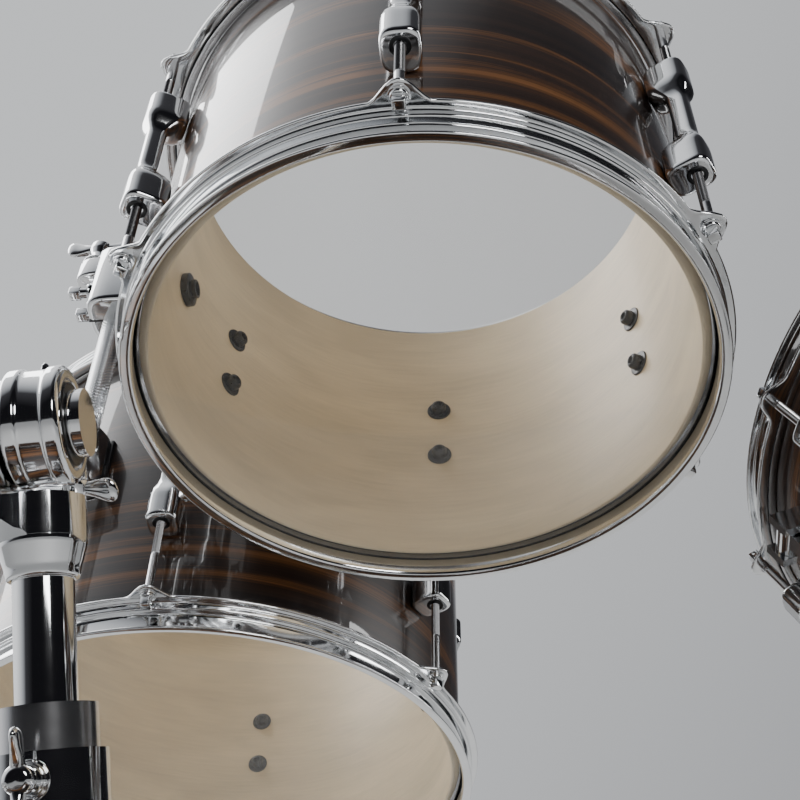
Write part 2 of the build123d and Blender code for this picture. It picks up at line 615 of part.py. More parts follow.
def make_strainer_lever():
    """Throw-off lever hanging from its eye, at angle 0."""
    lever_line = snare_radius + LEVER_OFFSET
    lever = rod((lever_line, -LEVER_HALF, LEVER_HEIGHT), (lever_line, LEVER_HALF, LEVER_HEIGHT), LEVER_EYE)
    lever += block((lever_line - 3.5, 1 - LEVER_HALF, LEVER_HEIGHT - LEVER_LENGTH),
                   (lever_line + 3.5, LEVER_HALF - 1, LEVER_HEIGHT))
    return lever - rod((lever_line, -LEVER_HALF - 1, LEVER_HEIGHT),
                       (lever_line, LEVER_HALF + 1, LEVER_HEIGHT), LEVER_PIN + FIT)


def make_wires():
    """Snare wires: thin rods between two end plates under the lower head."""
    end = snare_radius - WIRE_INSET
    plate_low, plate_high = -WIRE_DROP - 1, -WIRE_DROP + 1
    wires = block((-end, -WIRE_PLATE_HALF, plate_low), (WIRE_PLATE - end, WIRE_PLATE_HALF, plate_high))
    wires += block((end - WIRE_PLATE, -WIRE_PLATE_HALF, plate_low), (end, WIRE_PLATE_HALF, plate_high))
    reach = end - WIRE_PLATE / 2
    for k in range(-WIRES_PER_SIDE, WIRES_PER_SIDE + 1):
        wires += rod((-reach, WIRE_PITCH * k, -WIRE_DROP), (reach, WIRE_PITCH * k, -WIRE_DROP), WIRE_RADIUS)
    return wires


strainer_turn = snare_frame.location * Rot(0, 0, STRAINER_ANGLE)
butt_turn = snare_frame.location * Rot(0, 0, STRAINER_ANGLE + 180)
parts["snare_strainer"] = strainer_turn * make_strainer()
parts["snare_strainer_lever"] = strainer_turn * make_strainer_lever()
parts["snare_butt_plate"] = butt_turn * strainer_block(STRAINER_LOW, BUTT_HIGH, BUTT_DEPTH)
parts["snare_wires"] = snare_frame.location * make_wires()

# ---- snare stand -------------------------------------------------------------------------------
pivot = Vector(SNARE_CENTRE) - snare_axis * BASKET_PIVOT
tilt_line = Vector(0, 0, 1).cross(snare_axis).normalized()


def make_basket():
    """Basket: a hub under the snare with three bent wire arms and the eye it tilts on."""
    basket = Pos(0, 0, -BASKET_DROP) * Cylinder(BASKET_HUB, 20)
    finger = snare_radius + BASKET_FINGER
    arm = bent_rod([(8, 0, -BASKET_DROP), (finger, 0, BASKET_CORNER), (finger, 0, 4)], 14, BASKET_WIRE)
    for angle in BASKET_ANGLES:
        basket += Rot(0, 0, angle) * arm
    basket = snare_frame.location * basket
    neck = Plane(origin=pivot, x_dir=tilt_line, z_dir=snare_axis)
    basket += neck.location * block((-EYE_HALF, -7, 0), (EYE_HALF, 7, BASKET_PIVOT - BASKET_DROP - 6))
    basket += rod(pivot - tilt_line * EYE_HALF, pivot + tilt_line * EYE_HALF, EYE_RADIUS)
    basket -= rod(pivot - tilt_line * 20, pivot + tilt_line * 20, TILT_PIN + FIT)
    return basket


def make_fork():
    """Fork on the stand tube: two ears and the pin that the basket tilts on."""
    inner = EYE_HALF + 0.5
    outer = inner + EAR_THICK
    frame = Plane(origin=pivot, x_dir=tilt_line, z_dir=(0, 0, 1))
    fork = block((-outer, -EYE_RADIUS, -FORK_DROP), (outer, EYE_RADIUS, -EYE_RADIUS - 3))
    for side in (-1, 1):
        low, high = sorted((side * inner, side * outer))
        fork += block((low, -EYE_RADIUS, -FORK_DROP), (high, EYE_RADIUS, EYE_RADIUS))
    fork += rod((-outer - 4, 0, 0), (outer + 4, 0, 0), TILT_PIN)
    return frame.location * fork


def make_stand_base():
    """Stand sleeve and leg hub with three clevises and their pins."""
    hub = Pos(0, 0, STAND_HUB_Z) * Cylinder(STAND_SLEEVE + 4, 52)
    hub += Pos(0, 0, STAND_HUB_Z) * extrude(Circle(STAND_SLEEVE), STAND_SLEEVE_TOP_Z - STAND_HUB_Z)
    hub += Pos(0, 0, STAND_SLEEVE_TOP_Z - 30) * extrude(Circle(STAND_SLEEVE + 5), 34)
    for angle in LEG_ANGLES:
        ears = block((STAND_SLEEVE, 8, STAND_HUB_Z - 10), (LEG_HINGE_R + 7, 12, STAND_HUB_Z + 10))
        ears += mirror(ears, Plane.XZ)
        ears += rod((LEG_HINGE_R, -12, STAND_HUB_Z), (LEG_HINGE_R, 12, STAND_HUB_Z), LEG_PIN)
        hub += Rot(0, 0, angle) * ears
    hub -= Pos(0, 0, SLEEVE_BORE_Z) * extrude(Circle(STAND_TUBE + FIT), STAND_SLEEVE_TOP_Z)
    return Pos(pivot.X, pivot.Y, 0) * hub


def make_leg(angle):
    """Stand leg with the eye that it folds on, and its rubber foot."""
    start = (LEG_HINGE_R, 0, STAND_HUB_Z)
    end = (LEG_SPREAD - 4, 0, LEG_FOOT_HEIGHT / 2 + 2)
    leg = rod(start, end, LEG_RADIUS)
    leg += rod((LEG_HINGE_R, -7.6, STAND_HUB_Z), (LEG_HINGE_R, 7.6, STAND_HUB_Z), LEG_EYE)
    leg -= rod((LEG_HINGE_R, -9, STAND_HUB_Z), (LEG_HINGE_R, 9, STAND_HUB_Z), LEG_PIN + FIT)
    foot = Pos(LEG_SPREAD, 0, 0) * extrude(Circle(LEG_FOOT_RADIUS), LEG_FOOT_HEIGHT)
    foot -= rod(start, end, LEG_RADIUS)
    turn = Pos(pivot.X, pivot.Y, 0) * Rot(0, 0, angle)
    return turn * group([leg, foot])


parts["snare_basket"] = make_basket()
parts["snare_stand_fork"] = make_fork()
fork_foot_z = pivot.Z - FORK_DROP
parts["snare_stand_tube"] = (Pos(pivot.X, pivot.Y, STAND_TUBE_LOW_Z)
                             * extrude(Circle(STAND_TUBE), fork_foot_z - STAND_TUBE_LOW_Z))
parts["snare_stand_base"] = make_stand_base()
for number, angle in enumerate(LEG_ANGLES, 1):
    parts[f"snare_stand_leg_{number}"] = make_leg(angle)

# ---- origin at the bottom centre of the whole kit -------------------------------------------------
boxes = [shape.bounding_box() for shape in parts.values()]
low = [min(getattr(b.min, axis) for b in boxes) for axis in "XYZ"]
high = [max(getattr(b.max, axis) for b in boxes) for axis in "XYZ"]
kit_shift = Vector(-(low[0] + high[0]) / 2, -(low[1] + high[1]) / 2, -low[2])
for name, shape in parts.items():
    export_step(Pos(*kit_shift) * shape, f"parts/{name}.step")
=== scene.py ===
"""Acoustic drum kit: finished surfaces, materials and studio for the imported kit.

Lengths are metres.  Every drum has its own axes: local Z runs from the lower bearing edge to the
batter edge, local X is the level direction nearest to world X, and angles are counted from it.
"""
import json
import math

import bpy
import numpy as np
from mathutils import Matrix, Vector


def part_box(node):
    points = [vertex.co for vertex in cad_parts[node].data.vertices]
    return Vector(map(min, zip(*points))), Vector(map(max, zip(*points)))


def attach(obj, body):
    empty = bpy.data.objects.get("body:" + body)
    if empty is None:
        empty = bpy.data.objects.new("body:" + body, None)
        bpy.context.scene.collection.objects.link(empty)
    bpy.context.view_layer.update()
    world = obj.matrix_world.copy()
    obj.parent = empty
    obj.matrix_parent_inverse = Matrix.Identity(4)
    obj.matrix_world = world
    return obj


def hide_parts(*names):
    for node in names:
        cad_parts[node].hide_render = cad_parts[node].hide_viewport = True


bl_info = {
    "name": "Acoustic Drum Kit",
    "version": (1, 0, 0),
    "blender": (4, 5, 0),
    "location": "View3D > Sidebar > Drum Kit",
    "description": "Builds the shells, heads, hoops and hardware of an acoustic drum kit",
    "category": "Add Mesh",
}

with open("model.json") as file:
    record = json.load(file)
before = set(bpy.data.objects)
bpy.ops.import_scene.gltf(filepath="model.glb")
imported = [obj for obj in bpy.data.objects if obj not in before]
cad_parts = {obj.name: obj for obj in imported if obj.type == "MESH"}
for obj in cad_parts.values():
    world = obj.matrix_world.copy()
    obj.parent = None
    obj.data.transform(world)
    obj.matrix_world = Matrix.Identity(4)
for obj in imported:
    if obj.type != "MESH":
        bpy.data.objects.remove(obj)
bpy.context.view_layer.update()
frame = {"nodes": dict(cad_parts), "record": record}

MM = 0.001
INCH = 0.0254


# ---- axes and the frame's places ----
def unit(vector):
    """Vector of length one."""
    vector = np.asarray(vector, float)
    return vector / np.linalg.norm(vector)


class Axes:
    """A local frame: origin, Z direction and the X direction nearest to a hint."""

    def __init__(self, origin, z, x_hint=(1.0, 0.0, 0.0)):
        self.origin = np.asarray(origin, float)
        self.z = unit(z)
        hint = np.asarray(x_hint, float)
        self.x = unit(hint - self.z * hint.dot(self.z))
        self.y = np.cross(self.z, self.x)

    def world(self, points):
        """Local points to world points: origin + x X + y Y + z Z."""
        return self.origin + points @ np.stack([self.x, self.y, self.z])

    def polar(self, radius, angle, height):
        """World point at a radius, an angle in degrees and a height."""
        turn = math.radians(angle)
        return self.world(np.array([radius * math.cos(turn), radius * math.sin(turn), height]))

    def outward(self, angle):
        """World direction pointing away from Z at an angle in degrees."""
        turn = math.radians(angle)
        return self.x * math.cos(turn) + self.y * math.sin(turn)


JOINTS = {joint["name"]: joint for joint in frame["record"]["behaviour"]["joints"]}


def joint_place(name):
    """A joint's position in metres."""
    return np.array(JOINTS[name]["pos_m"], float)


def joint_axis(name):
    """A joint's direction."""
    return unit(JOINTS[name]["axis"])


def box_centre(node):
    """Centre of a CAD node's box."""
    low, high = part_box(node)
    return (np.array(low) + np.array(high)) / 2


class Drum:
    """Sizes and axes of one drum, placed by its CAD shell."""

    def __init__(self, name, diameter, depth, wall, lugs, lug_length, axis):
        self.name = name
        self.body = "bass_drum" if name == "bass" else name
        self.radius = diameter / 2
        self.depth = depth
        self.wall = wall
        self.lug_length = lug_length
        self.lug_ends = (depth - lug_length) / 2, (depth + lug_length) / 2
        self.angles = [180 / lugs + 360 * k / lugs for k in range(lugs)]
        self.axes = Axes(box_centre(f"{name}_shell") - unit(axis) * depth / 2, axis)


TOM_AXIS = joint_axis("tom12_turn")
TOM12 = Drum("tom12", 12 * INCH, 8 * INCH, 6 * MM, 6, 4 * INCH, TOM_AXIS)
TOM14 = Drum("tom14", 14 * INCH, 10 * INCH, 6 * MM, 6, 5 * INCH, TOM_AXIS)
SNARE = Drum("snare", 14 * INCH, 5.5 * INCH, 7 * MM, 10, 2.31 * INCH, joint_axis("snare_lift"))
BASS = Drum("bass", 20 * INCH, 16 * INCH, 7.5 * MM, 8, 190 * MM, (0, 1, 0))
STEEL_DRUMS = (TOM12, TOM14, SNARE)
TOMS = (TOM12, TOM14)
BRACKET_ANGLE = {"tom12": 180.0, "tom14": 248.0}     # degrees round the drum
BRACKET_LOW = {"tom12": 62 * MM, "tom14": 110 * MM}  # above the lower bearing edge
BRACKET_LENGTH = 50 * MM
ROD_LINE = 15.6 * MM       # this and the next three lines are counted outwards from the shell
BASS_ROD_LINE = 24 * MM
ARM_LINE = 26.5 * MM
WING_LINE = 46.5 * MM
ARM_RADIUS = 6.35 * MM
FLANGE_OUT = -9.0 * MM     # a steel hoop's flange, outwards from the bearing edge
STEEL = 2.2 * MM           # plate of a steel hoop
HOOP_WALL = 5.9 * MM       # inside of a hoop beside the head, out from the shell
HOOP_COLLAR = 1.3 * MM     # inside of a hoop above the head, out from the shell
HOOP_FLANGE = 12.6 * MM    # rim of a steel hoop's flange, out from the shell
EAR_REACH = 11.2 * MM      # an ear beyond the flange
EAR_HALF_ARC = 15 * MM
WOOD_HOOP_RIM = 14 * MM    # outside of a wooden hoop, out from the shell
BEARING_FLAT = 1.6 * MM    # flat top of a bearing edge
LUG_EDGE = 2.6 * MM        # rounding at a lug's ends
LUG_TOP = 8.8 * MM         # top of a lug's block, out from the rod line
LUG_HALF_WIDTH = 10.3 * MM
LUG_WAIST = 5.6 * MM       # radius of a lug's waist
ROD_CREST, ROD_ROOT = 2.75 * MM, 2.35 * MM
ROD_PITCH = 1.0 * MM
LUG_BOLT_SIDE = 20.5 * MM  # a lug's bolts, either way from the middle of the shell
VENT_BESIDE_BRACKET = 5.0  # degrees


# ---- surfaces ----
def rounded(outline, radius, steps=4, closed=True):
    """Outline with each corner P replaced by a parabola: (1-t)^2 A + 2t(1-t) P + t^2 B, where A and
    B lie on the two sides, a radius away from P but never past 0.45 of the side."""
    points = np.asarray(outline, float)
    before, after = np.roll(points, 1, 0), np.roll(points, -1, 0)
    t = np.linspace(0, 1, steps + 1)[None, :, None]

    def cut(other):
        length = np.linalg.norm(other - points, axis=1, keepdims=True)
        return points + (other - points) * np.minimum(radius / np.maximum(length, 1e-9), 0.45)

    a, b, p = cut(before)[:, None], cut(after)[:, None], points[:, None]
    curve = (1 - t) ** 2 * a + 2 * t * (1 - t) * p + t ** 2 * b
    if closed:
        return curve.reshape(-1, points.shape[1])
    return np.concatenate([points[:1], curve[1:-1].reshape(-1, points.shape[1]), points[-1:]])


def outline_mm(points, radius, steps, closed=True):
    """Rounded outline from points and a corner radius in millimetres."""
    return rounded(np.array(points) * MM, radius * MM, steps, closed)


def turned(outline, segments):
    """Surface of revolution: every (radius, height) point of the outline carried round local Z."""
    outline = np.asarray(outline, float)
    angle = np.linspace(0, 2 * np.pi, segments, endpoint=False)
    r, z = outline[:, :1], outline[:, 1:]
    return np.stack([r * np.cos(angle), r * np.sin(angle), z + 0 * angle], axis=-1)


def lofted(heights, centres, halves, power=4.0, count=32):
    """Superellipse sections stacked along local Z: |x/a|^p + |y/b|^p = 1 round each centre."""
    angle = np.linspace(0, 2 * np.pi, count, endpoint=False)
    c, s = np.cos(angle), np.sin(angle)
    size = (np.abs(c) ** power + np.abs(s) ** power) ** (-1 / power)
    heights, centres, halves = (np.asarray(v, float) for v in (heights, centres, halves))
    x = centres[:, :1] + halves[:, :1] * (c * size)
    y = centres[:, 1:] + halves[:, 1:] * (s * size)
    return np.stack([x, y, heights[:, None] + 0 * x], axis=-1)


def slab(low, high, half_x, half_y, edge, centre=(0.0, 0.0), power=6.0, count=32):
    """Lofted block from low to high whose rims shrink by a quarter circle of the edge radius."""
    turn = np.linspace(0, np.pi / 2, 5)
    rim = edge * (1 - np.sin(turn))
    rise = edge * (1 - np.cos(turn))
    heights = np.concatenate([low + rise, high - rise[::-1]])
    inset = np.concatenate([rim, rim[::-1]])
    halves = np.stack([half_x - inset, half_y - inset], axis=1)
    return lofted(heights, np.tile(centre, (len(heights), 1)), halves, power, count)


def smooth_step(low, high, value):
    """Cubic step from 0 at low to 1 at high."""
    t = np.clip((value - low) / (high - low), 0, 1)
    return t * t * (3 - 2 * t)


def turn_z(points, angle):
    """Points turned about local Z by an angle in degrees."""
    a = math.radians(angle)
    return points @ np.array([[math.cos(a), math.sin(a), 0], [-math.sin(a), math.cos(a), 0], [0, 0, 1]])


def along_radius(points, start, height, inward=False):
    """Points whose local Z is laid along +X (or -X when inward), starting at a radius."""
    x, y, z = points[..., 0], points[..., 1], points[..., 2]
    way = -1.0 if inward else 1.0
    return np.stack([start + way * z, y * way, height + x], axis=-1)


class Piece:
    """Collects closed surfaces and makes one mesh object of them."""

    def __init__(self, name, *materials):
        self.name = name
        self.materials = materials
        self.points, self.places, self.faces, self.slots = [], [], [], []
        self.count = 0

    def add(self, grid, axes=None, closed=False, slot=0, bands=None):
        """Adds a grid of rings.  closed joins the last ring to the first, otherwise both ends are
        capped.  bands gives a material slot for each band of faces between two rings."""
        rings, around = grid.shape[:2]
        local = grid.reshape(-1, 3)
        world = axes.world(local) if axes is not None else local
        index = np.arange(rings * around).reshape(rings, around)
        if closed:
            index = np.concatenate([index, index[:1]])
        low, high = index[:-1], index[1:]
        quads = np.stack([low, np.roll(low, -1, 1), np.roll(high, -1, 1), high], axis=-1).reshape(-1, 4)
        a, b, c, d = (world[quads[:, k]] for k in range(4))
        volume = np.einsum("ij,ij->", a, np.cross(b, c)) + np.einsum("ij,ij->", a, np.cross(c, d))
        faces = quads
        caps = []
        if not closed:
            for ring in (index[0][::-1], index[-1]):
                fan = world[ring]
                first = np.broadcast_to(fan[0], fan[1:-1].shape)
                volume += np.einsum("ij,ij->", first, np.cross(fan[1:-1], fan[2:]))
                caps.append(ring)
        if volume < 0:
            faces = faces[:, ::-1]
            caps = [ring[::-1] for ring in caps]
        slots = np.full(len(faces), slot) if bands is None else np.repeat(np.asarray(bands), around)
        self.faces += (faces + self.count).tolist() + [(ring + self.count).tolist() for ring in caps]
        self.slots += slots.tolist() + [slot] * len(caps)
        self.points.append(world)
        self.places.append(local)
        self.count += len(world)

    def make(self, body, *nodes, sharp=38.0):
        """Builds the object, rides it on a body and lets it stand for CAD nodes."""
        mesh = bpy.data.meshes.new(self.name)
        mesh.from_pydata(np.concatenate(self.points).tolist(), [], self.faces)
        mesh.polygons.foreach_set("use_smooth", np.ones(len(mesh.polygons), bool))
        mesh.polygons.foreach_set("material_index", np.array(self.slots, np.int32))
        place = mesh.attributes.new("place", "FLOAT_VECTOR", "POINT")
        place.data.foreach_set("vector", np.concatenate(self.places).astype(np.float32).ravel())
        mesh.set_sharp_from_angle(angle=math.radians(sharp))
        for material in self.materials:
            mesh.materials.append(material)
        mesh.validate()
        mesh.update()
        piece = bpy.data.objects.new(self.name, mesh)
        bpy.context.scene.collection.objects.link(piece)
        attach(piece, body)
        if nodes:
            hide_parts(*nodes)
        return piece


# ---- shader helpers ----
class Value:
    """A shader socket that takes part in Python arithmetic; each operation adds one Math node."""

    def __init__(self, shader, socket):
        self.shader = shader
        self.socket = socket

    def _math(self, operation, *others):
        values = {k: getattr(v, "socket", v) for k, v in enumerate(others)}
        return self.shader.node("ShaderNodeMath", {"operation": operation}, values)

    def __add__(self, other):
        return self._math("ADD", self, other)

    def __sub__(self, other):
        return self._math("SUBTRACT", self, other)

    def __rsub__(self, other):
        return self._math("SUBTRACT", other, self)

    def __mul__(self, other):
        return self._math("MULTIPLY", self, other)

    __radd__ = __add__
    __rmul__ = __mul__


class Nodes:
    """A node tree and one generic way of adding nodes to it."""

    def __init__(self, tree):
        self.tree = tree

    def node(self, kind, settings=None, sockets=None, output=0):
        """Adds a node, sets its settings, then its sockets from numbers or links."""
        node = self.tree.nodes.new(kind)
        for key, value in (settings or {}).items():
            if key == "stops":
                self._stops(node.color_ramp, value)
            else:
                setattr(node, key, value)
        for key, value in (sockets or {}).items():
            value = getattr(value, "socket", value)
            if isinstance(value, bpy.types.NodeSocket):
                self.tree.links.new(value, node.inputs[key])
            else:
                node.inputs[key].default_value = value
        return Value(self, node.outputs[output])

    @staticmethod
    def _stops(ramp, stops):
        while len(ramp.elements) < len(stops):
            ramp.elements.new(0.5)
        for element, (position, color) in zip(ramp.elements, stops):
            element.position = position
            element.color = (*color, 1.0)

    def ramp(self, value, *stops):
        """Colour ramp through (position, colour) stops."""
        return self.node("ShaderNodeValToRGB", {"stops": stops}, {"Fac": value})


class Shader(Nodes):
    """A material's nodes round its Principled shader."""

    def __init__(self, name, **constants):
        self.material = bpy.data.materials.new(name)
        self.material.use_nodes = True
        super().__init__(self.material.node_tree)
        self.principled = self.tree.nodes["Principled BSDF"]
        for key, value in constants.items():
            self.principled.inputs[key.replace("_", " ")].default_value = value

    def place(self, scale):
        """The piece's own local coordinates, stretched by a scale."""
        coordinates = self.node("ShaderNodeAttribute", {"attribute_name": "place"}, output=1)
        return self.node("ShaderNodeVectorMath", {"operation": "MULTIPLY"}, {0: coordinates, 1: scale})

    def object_place(self, scale):
        """Object coordinates stretched by a scale."""
        coordinates = self.node("ShaderNodeTexCoord", output=3)
        return self.node("ShaderNodeVectorMath", {"operation": "MULTIPLY"}, {0: coordinates, 1: scale})

    def noise(self, vector, detail=3.0, roughness=0.55, distortion=0.0):
        """Fractal noise, about 0.5 on average."""
        return self.node("ShaderNodeTexNoise", {}, {"Vector": vector, "Scale": 1.0, "Detail": detail,
                                                    "Roughness": roughness, "Distortion": distortion})

    def feed(self, **links):
        """Links values to the Principled shader's sockets."""
        for key, value in links.items():
            self.tree.links.new(value.socket, self.principled.inputs[key.replace("_", " ")])

    def bump(self, height, strength, distance):
        """Bump from a height value into the shader's normal."""
        sockets = {"Height": height, "Strength": strength, "Distance": distance}
        self.feed(Normal=self.node("ShaderNodeBump", {}, sockets))


def shade(color, factor):
    """Colour made darker or lighter by a factor."""
    return tuple(min(part * factor, 1.0) for part in color)


def veneer(name, shift, streak):
    """High-gloss striped ebony veneer: dark brown with orange-brown bands running round the shell."""
    shader = Shader(name, Roughness=0.32, Coat_Weight=1.0, Coat_Roughness=0.02, Coat_IOR=1.55)
    bands = shader.noise(shader.place((1.6, 1.6 + shift, 62.0)), 2.0, 0.5, 0.4)
    grain = shader.noise(shader.place((7.0, 7.0, 900.0)), 4.0, 0.65)
    tone = bands + (grain - 0.5) * 0.27
    color = shader.ramp(tone, (0.30, (0.010, 0.007, 0.006)), (0.44, (0.026, 0.015, 0.011)),
                        (0.54, (0.045, 0.024, 0.016)), (0.585, shade(streak, 0.5)),
                        (0.63, streak), (0.70, shade(streak, 0.33)))
    shader.feed(Base_Color=color)
    shader.bump(grain, 0.05, 0.0002)
    return shader.material


def maple(color):
    """Pale maple ply inside a shell, with fine grain and soft figure."""
    shader = Shader("maple_inside", Roughness=0.42, Coat_Weight=0.25, Coat_Roughness=0.25)
    figure = shader.noise(shader.place((9.0, 9.0, 26.0)), 3.0, 0.5, 0.6)
    grain = shader.noise(shader.place((30.0, 30.0, 700.0)), 4.0, 0.6)
    tone = figure * 0.65 + grain * 0.35
    wood = shader.ramp(tone, (0.32, shade(color, 0.82)), (0.50, color), (0.68, shade(color, 1.16)))
    shader.feed(Base_Color=wood, Roughness=grain * 0.2 + 0.34)
    shader.bump(grain, 0.08, 0.0003)
    return shader.material


def chrome(name, roughness, tint):
    """Polished chrome plate with faint handling marks in its gloss."""
    shader = Shader(name, Metallic=1.0)
    smudge = shader.noise(shader.object_place((38.0, 38.0, 38.0)), 4.0, 0.6)
    streak = shader.noise(shader.object_place((9.0, 160.0, 160.0)), 2.0, 0.5)
    color = shader.ramp(smudge, (0.35, shade(tint, 0.94)), (0.65, tint))
    shader.feed(Base_Color=color, Roughness=(smudge * 0.6 + streak * 0.4) * 0.09 + (roughness - 0.04))
    return shader.material


def film(name, color, alpha, roughness):
    """Drum head film with a slight haze and a gloss that grows towards grazing views."""
    shader = Shader(name, IOR=1.5, Specular_IOR_Level=0.6)
    haze = shader.noise(shader.place((5.0, 2.0, 1.0)), 3.0, 0.55, 1.2)
    edge = shader.node("ShaderNodeLayerWeight", {}, {"Blend": 0.25})
    tone = shader.ramp(haze, (0.35, shade(color, 0.93)), (0.7, color))
    shader.feed(Base_Color=tone, Alpha=edge * 0.10 + (haze - 0.45) * 0.06 + alpha,
                Roughness=haze * 0.1 + (roughness - 0.04))
    return shader.material


def dull(name, color, roughness, grain_size, depth):
    """Rubber, black oxide or moulded plastic with a fine grain."""
    shader = Shader(name)
    grain = shader.noise(shader.object_place((grain_size,) * 3), 4.0, 0.6)
    tone = shader.ramp(grain, (0.3, shade(color, 0.75)), (0.7, shade(color, 1.25)))
    shader.feed(Base_Color=tone, Roughness=grain * 0.2 + (roughness - 0.1))
    shader.bump(grain, 0.2, depth)
    return shader.material


class Finishes:
    def __init__(self, look):
        streak = tuple(look.veneer_streak)
        self.veneer = veneer("ebony_veneer", 0.0, streak)
        self.hoop_wood = veneer("hoop_lacquer", 0.7, streak)
        self.maple = maple(tuple(look.maple_color))
        self.chrome = chrome("chrome_plate", look.chrome_roughness, (0.80, 0.81, 0.82))
        self.satin = chrome("satin_steel", 0.20, (0.62, 0.62, 0.63))
        self.clear = film("clear_film", (0.92, 0.92, 0.90), look.clear_film, 0.09)
        self.white = film("coated_film", (0.80, 0.81, 0.82), 0.93, 0.5)
        self.black = dull("black_oxide", (0.010, 0.010, 0.011), 0.30, 420.0, 0.0001)
        self.rubber = dull("rubber", (0.022, 0.022, 0.022), 0.62, 260.0, 0.0004)


# ---- pieces that every drum has ----
def make_shell(drum, finish):
    """Ply shell: rounded bearing edges, veneer outside, maple inside."""
    r, inner, d = drum.radius, drum.radius - drum.wall, drum.depth
    flat, bevel = inner + BEARING_FLAT, drum.wall - BEARING_FLAT
    outline = [(inner, 0), (flat, 0), (r, bevel), (r, d - bevel), (flat, d), (inner, d)]
    outline = rounded(outline, 1.2 * MM)
    after = np.roll(outline, -1, 0)
    outer = np.minimum(outline[:, 0], after[:, 0]) > r - 0.4 * MM
    piece = Piece(f"{drum.name}_shell_finish", finish.veneer, finish.maple)
    piece.add(turned(outline, 192), drum.axes, closed=True, bands=np.where(outer, 0, 1))
    return piece.make(drum.body, f"{drum.name}_shell")


def flip_for_edge(points, drum, batter):
    """Heights counted outwards from a bearing edge, put on the drum's own Z."""
    points = np.array(points, float)
    points[:, 1] = drum.depth + points[:, 1] if batter else -points[:, 1]
    return points


def make_head(drum, batter, material, finish):
    """Head: film over the bearing edge, collar down the shell and the metal flesh hoop."""
    r = drum.radius
    film_top = 0.5 * MM
    outline = [(0.2 * MM, 0.02 * MM), (r + 0.4 * MM, 0.02 * MM), (r + 0.4 * MM, -8.6 * MM),
               (r + 5.3 * MM, -8.6 * MM), (r + 5.3 * MM, -4.3 * MM), (r + 0.9 * MM, -4.3 * MM),
               (r + 0.9 * MM, film_top), (0.2 * MM, film_top)]
    rings = rounded(outline, 0.5 * MM, 2, closed=False)
    metal = np.minimum(rings[:-1, 1], rings[1:, 1]) < -4.0 * MM
    kind = "batter_head" if batter else ("front_head" if drum.name == "bass" else "lower_head")
    piece = Piece(f"{drum.name}_{kind}_film", material, finish.satin)
    piece.add(turned(flip_for_edge(rings, drum, batter), 128), drum.axes, bands=np.where(metal, 1, 0))
    return piece.make(drum.body, f"{drum.name}_{kind}")


def ear_bulge(drum, angle):
    """How far the hoop's flange swells at its ears: half a cosine wave round every tension rod."""
    pitch = 2 * np.pi / len(drum.angles)
    start = math.radians(drum.angles[0])
    off = (angle - start + pitch / 2) % pitch - pitch / 2
    arc = np.abs(off) * (drum.radius + ROD_LINE)
    return np.where(arc < EAR_HALF_ARC, 0.5 + 0.5 * np.cos(np.pi * arc / EAR_HALF_ARC), 0.0) ** 0.8


def make_steel_hoop(drum, batter, finish):
    """Pressed hoop: flange with ears, wall, seat, collar and rolled lip, carried round the drum."""
    r = drum.radius
    wall, collar, flange = r + HOOP_WALL, r + HOOP_COLLAR, r + HOOP_FLANGE
    outline = [(wall, -9.0), (flange, -9.0), (flange, -6.8), (wall + STEEL, -6.8),
               (wall + STEEL, -1.8), (collar + STEEL, -1.8), (collar + STEEL, 9.4),
               (collar + 6.6 * MM, 9.8), (collar + 6.6 * MM, 12.0), (collar + 1.4 * MM, 11.8),
               (collar, 9.6), (collar, -4.0), (wall, -4.0)]
    outline = np.array([(radius, height * MM) for radius, height in outline])
    outline = rounded(outline, 1.3 * MM, 4)
    grid = turned(flip_for_edge(outline, drum, batter), 480 if drum is SNARE else 360)
    angle = np.arctan2(grid[..., 1], grid[..., 0])
    reach = smooth_step(r + 9.5 * MM, r + 12.4 * MM, np.hypot(grid[..., 0], grid[..., 1]))
    grid[..., :2] *= (1 + reach * ear_bulge(drum, angle) * EAR_REACH / flange)[..., None]
    kind = "batter_hoop" if batter else "lower_hoop"
    piece = Piece(f"{drum.name}_{kind}_steel", finish.chrome)
    piece.add(grid, drum.axes, closed=True)
    return piece.make(drum.body, f"{drum.name}_{kind}")


def make_wood_hoop(batter, finish):
    """Bass hoop: flat lacquered hoop with softened edges."""
    r = BASS.radius
    outer, inner, wall = r + WOOD_HOOP_RIM, r + HOOP_COLLAR, r + HOOP_WALL
    low, seat, top = -12 * MM, -4 * MM, 26 * MM
    outline = [(wall, low), (outer, low), (outer, top), (inner, top), (inner, seat), (wall, seat)]
    outline = rounded(outline, 2.4 * MM, 5)
    kind = "batter_hoop" if batter else "front_hoop"
    piece = Piece(f"bass_{kind}_wood", finish.hoop_wood)
    piece.add(turned(flip_for_edge(outline, BASS, batter), 192), BASS.axes, closed=True)
    return piece.make("bass_drum", f"bass_{kind}")


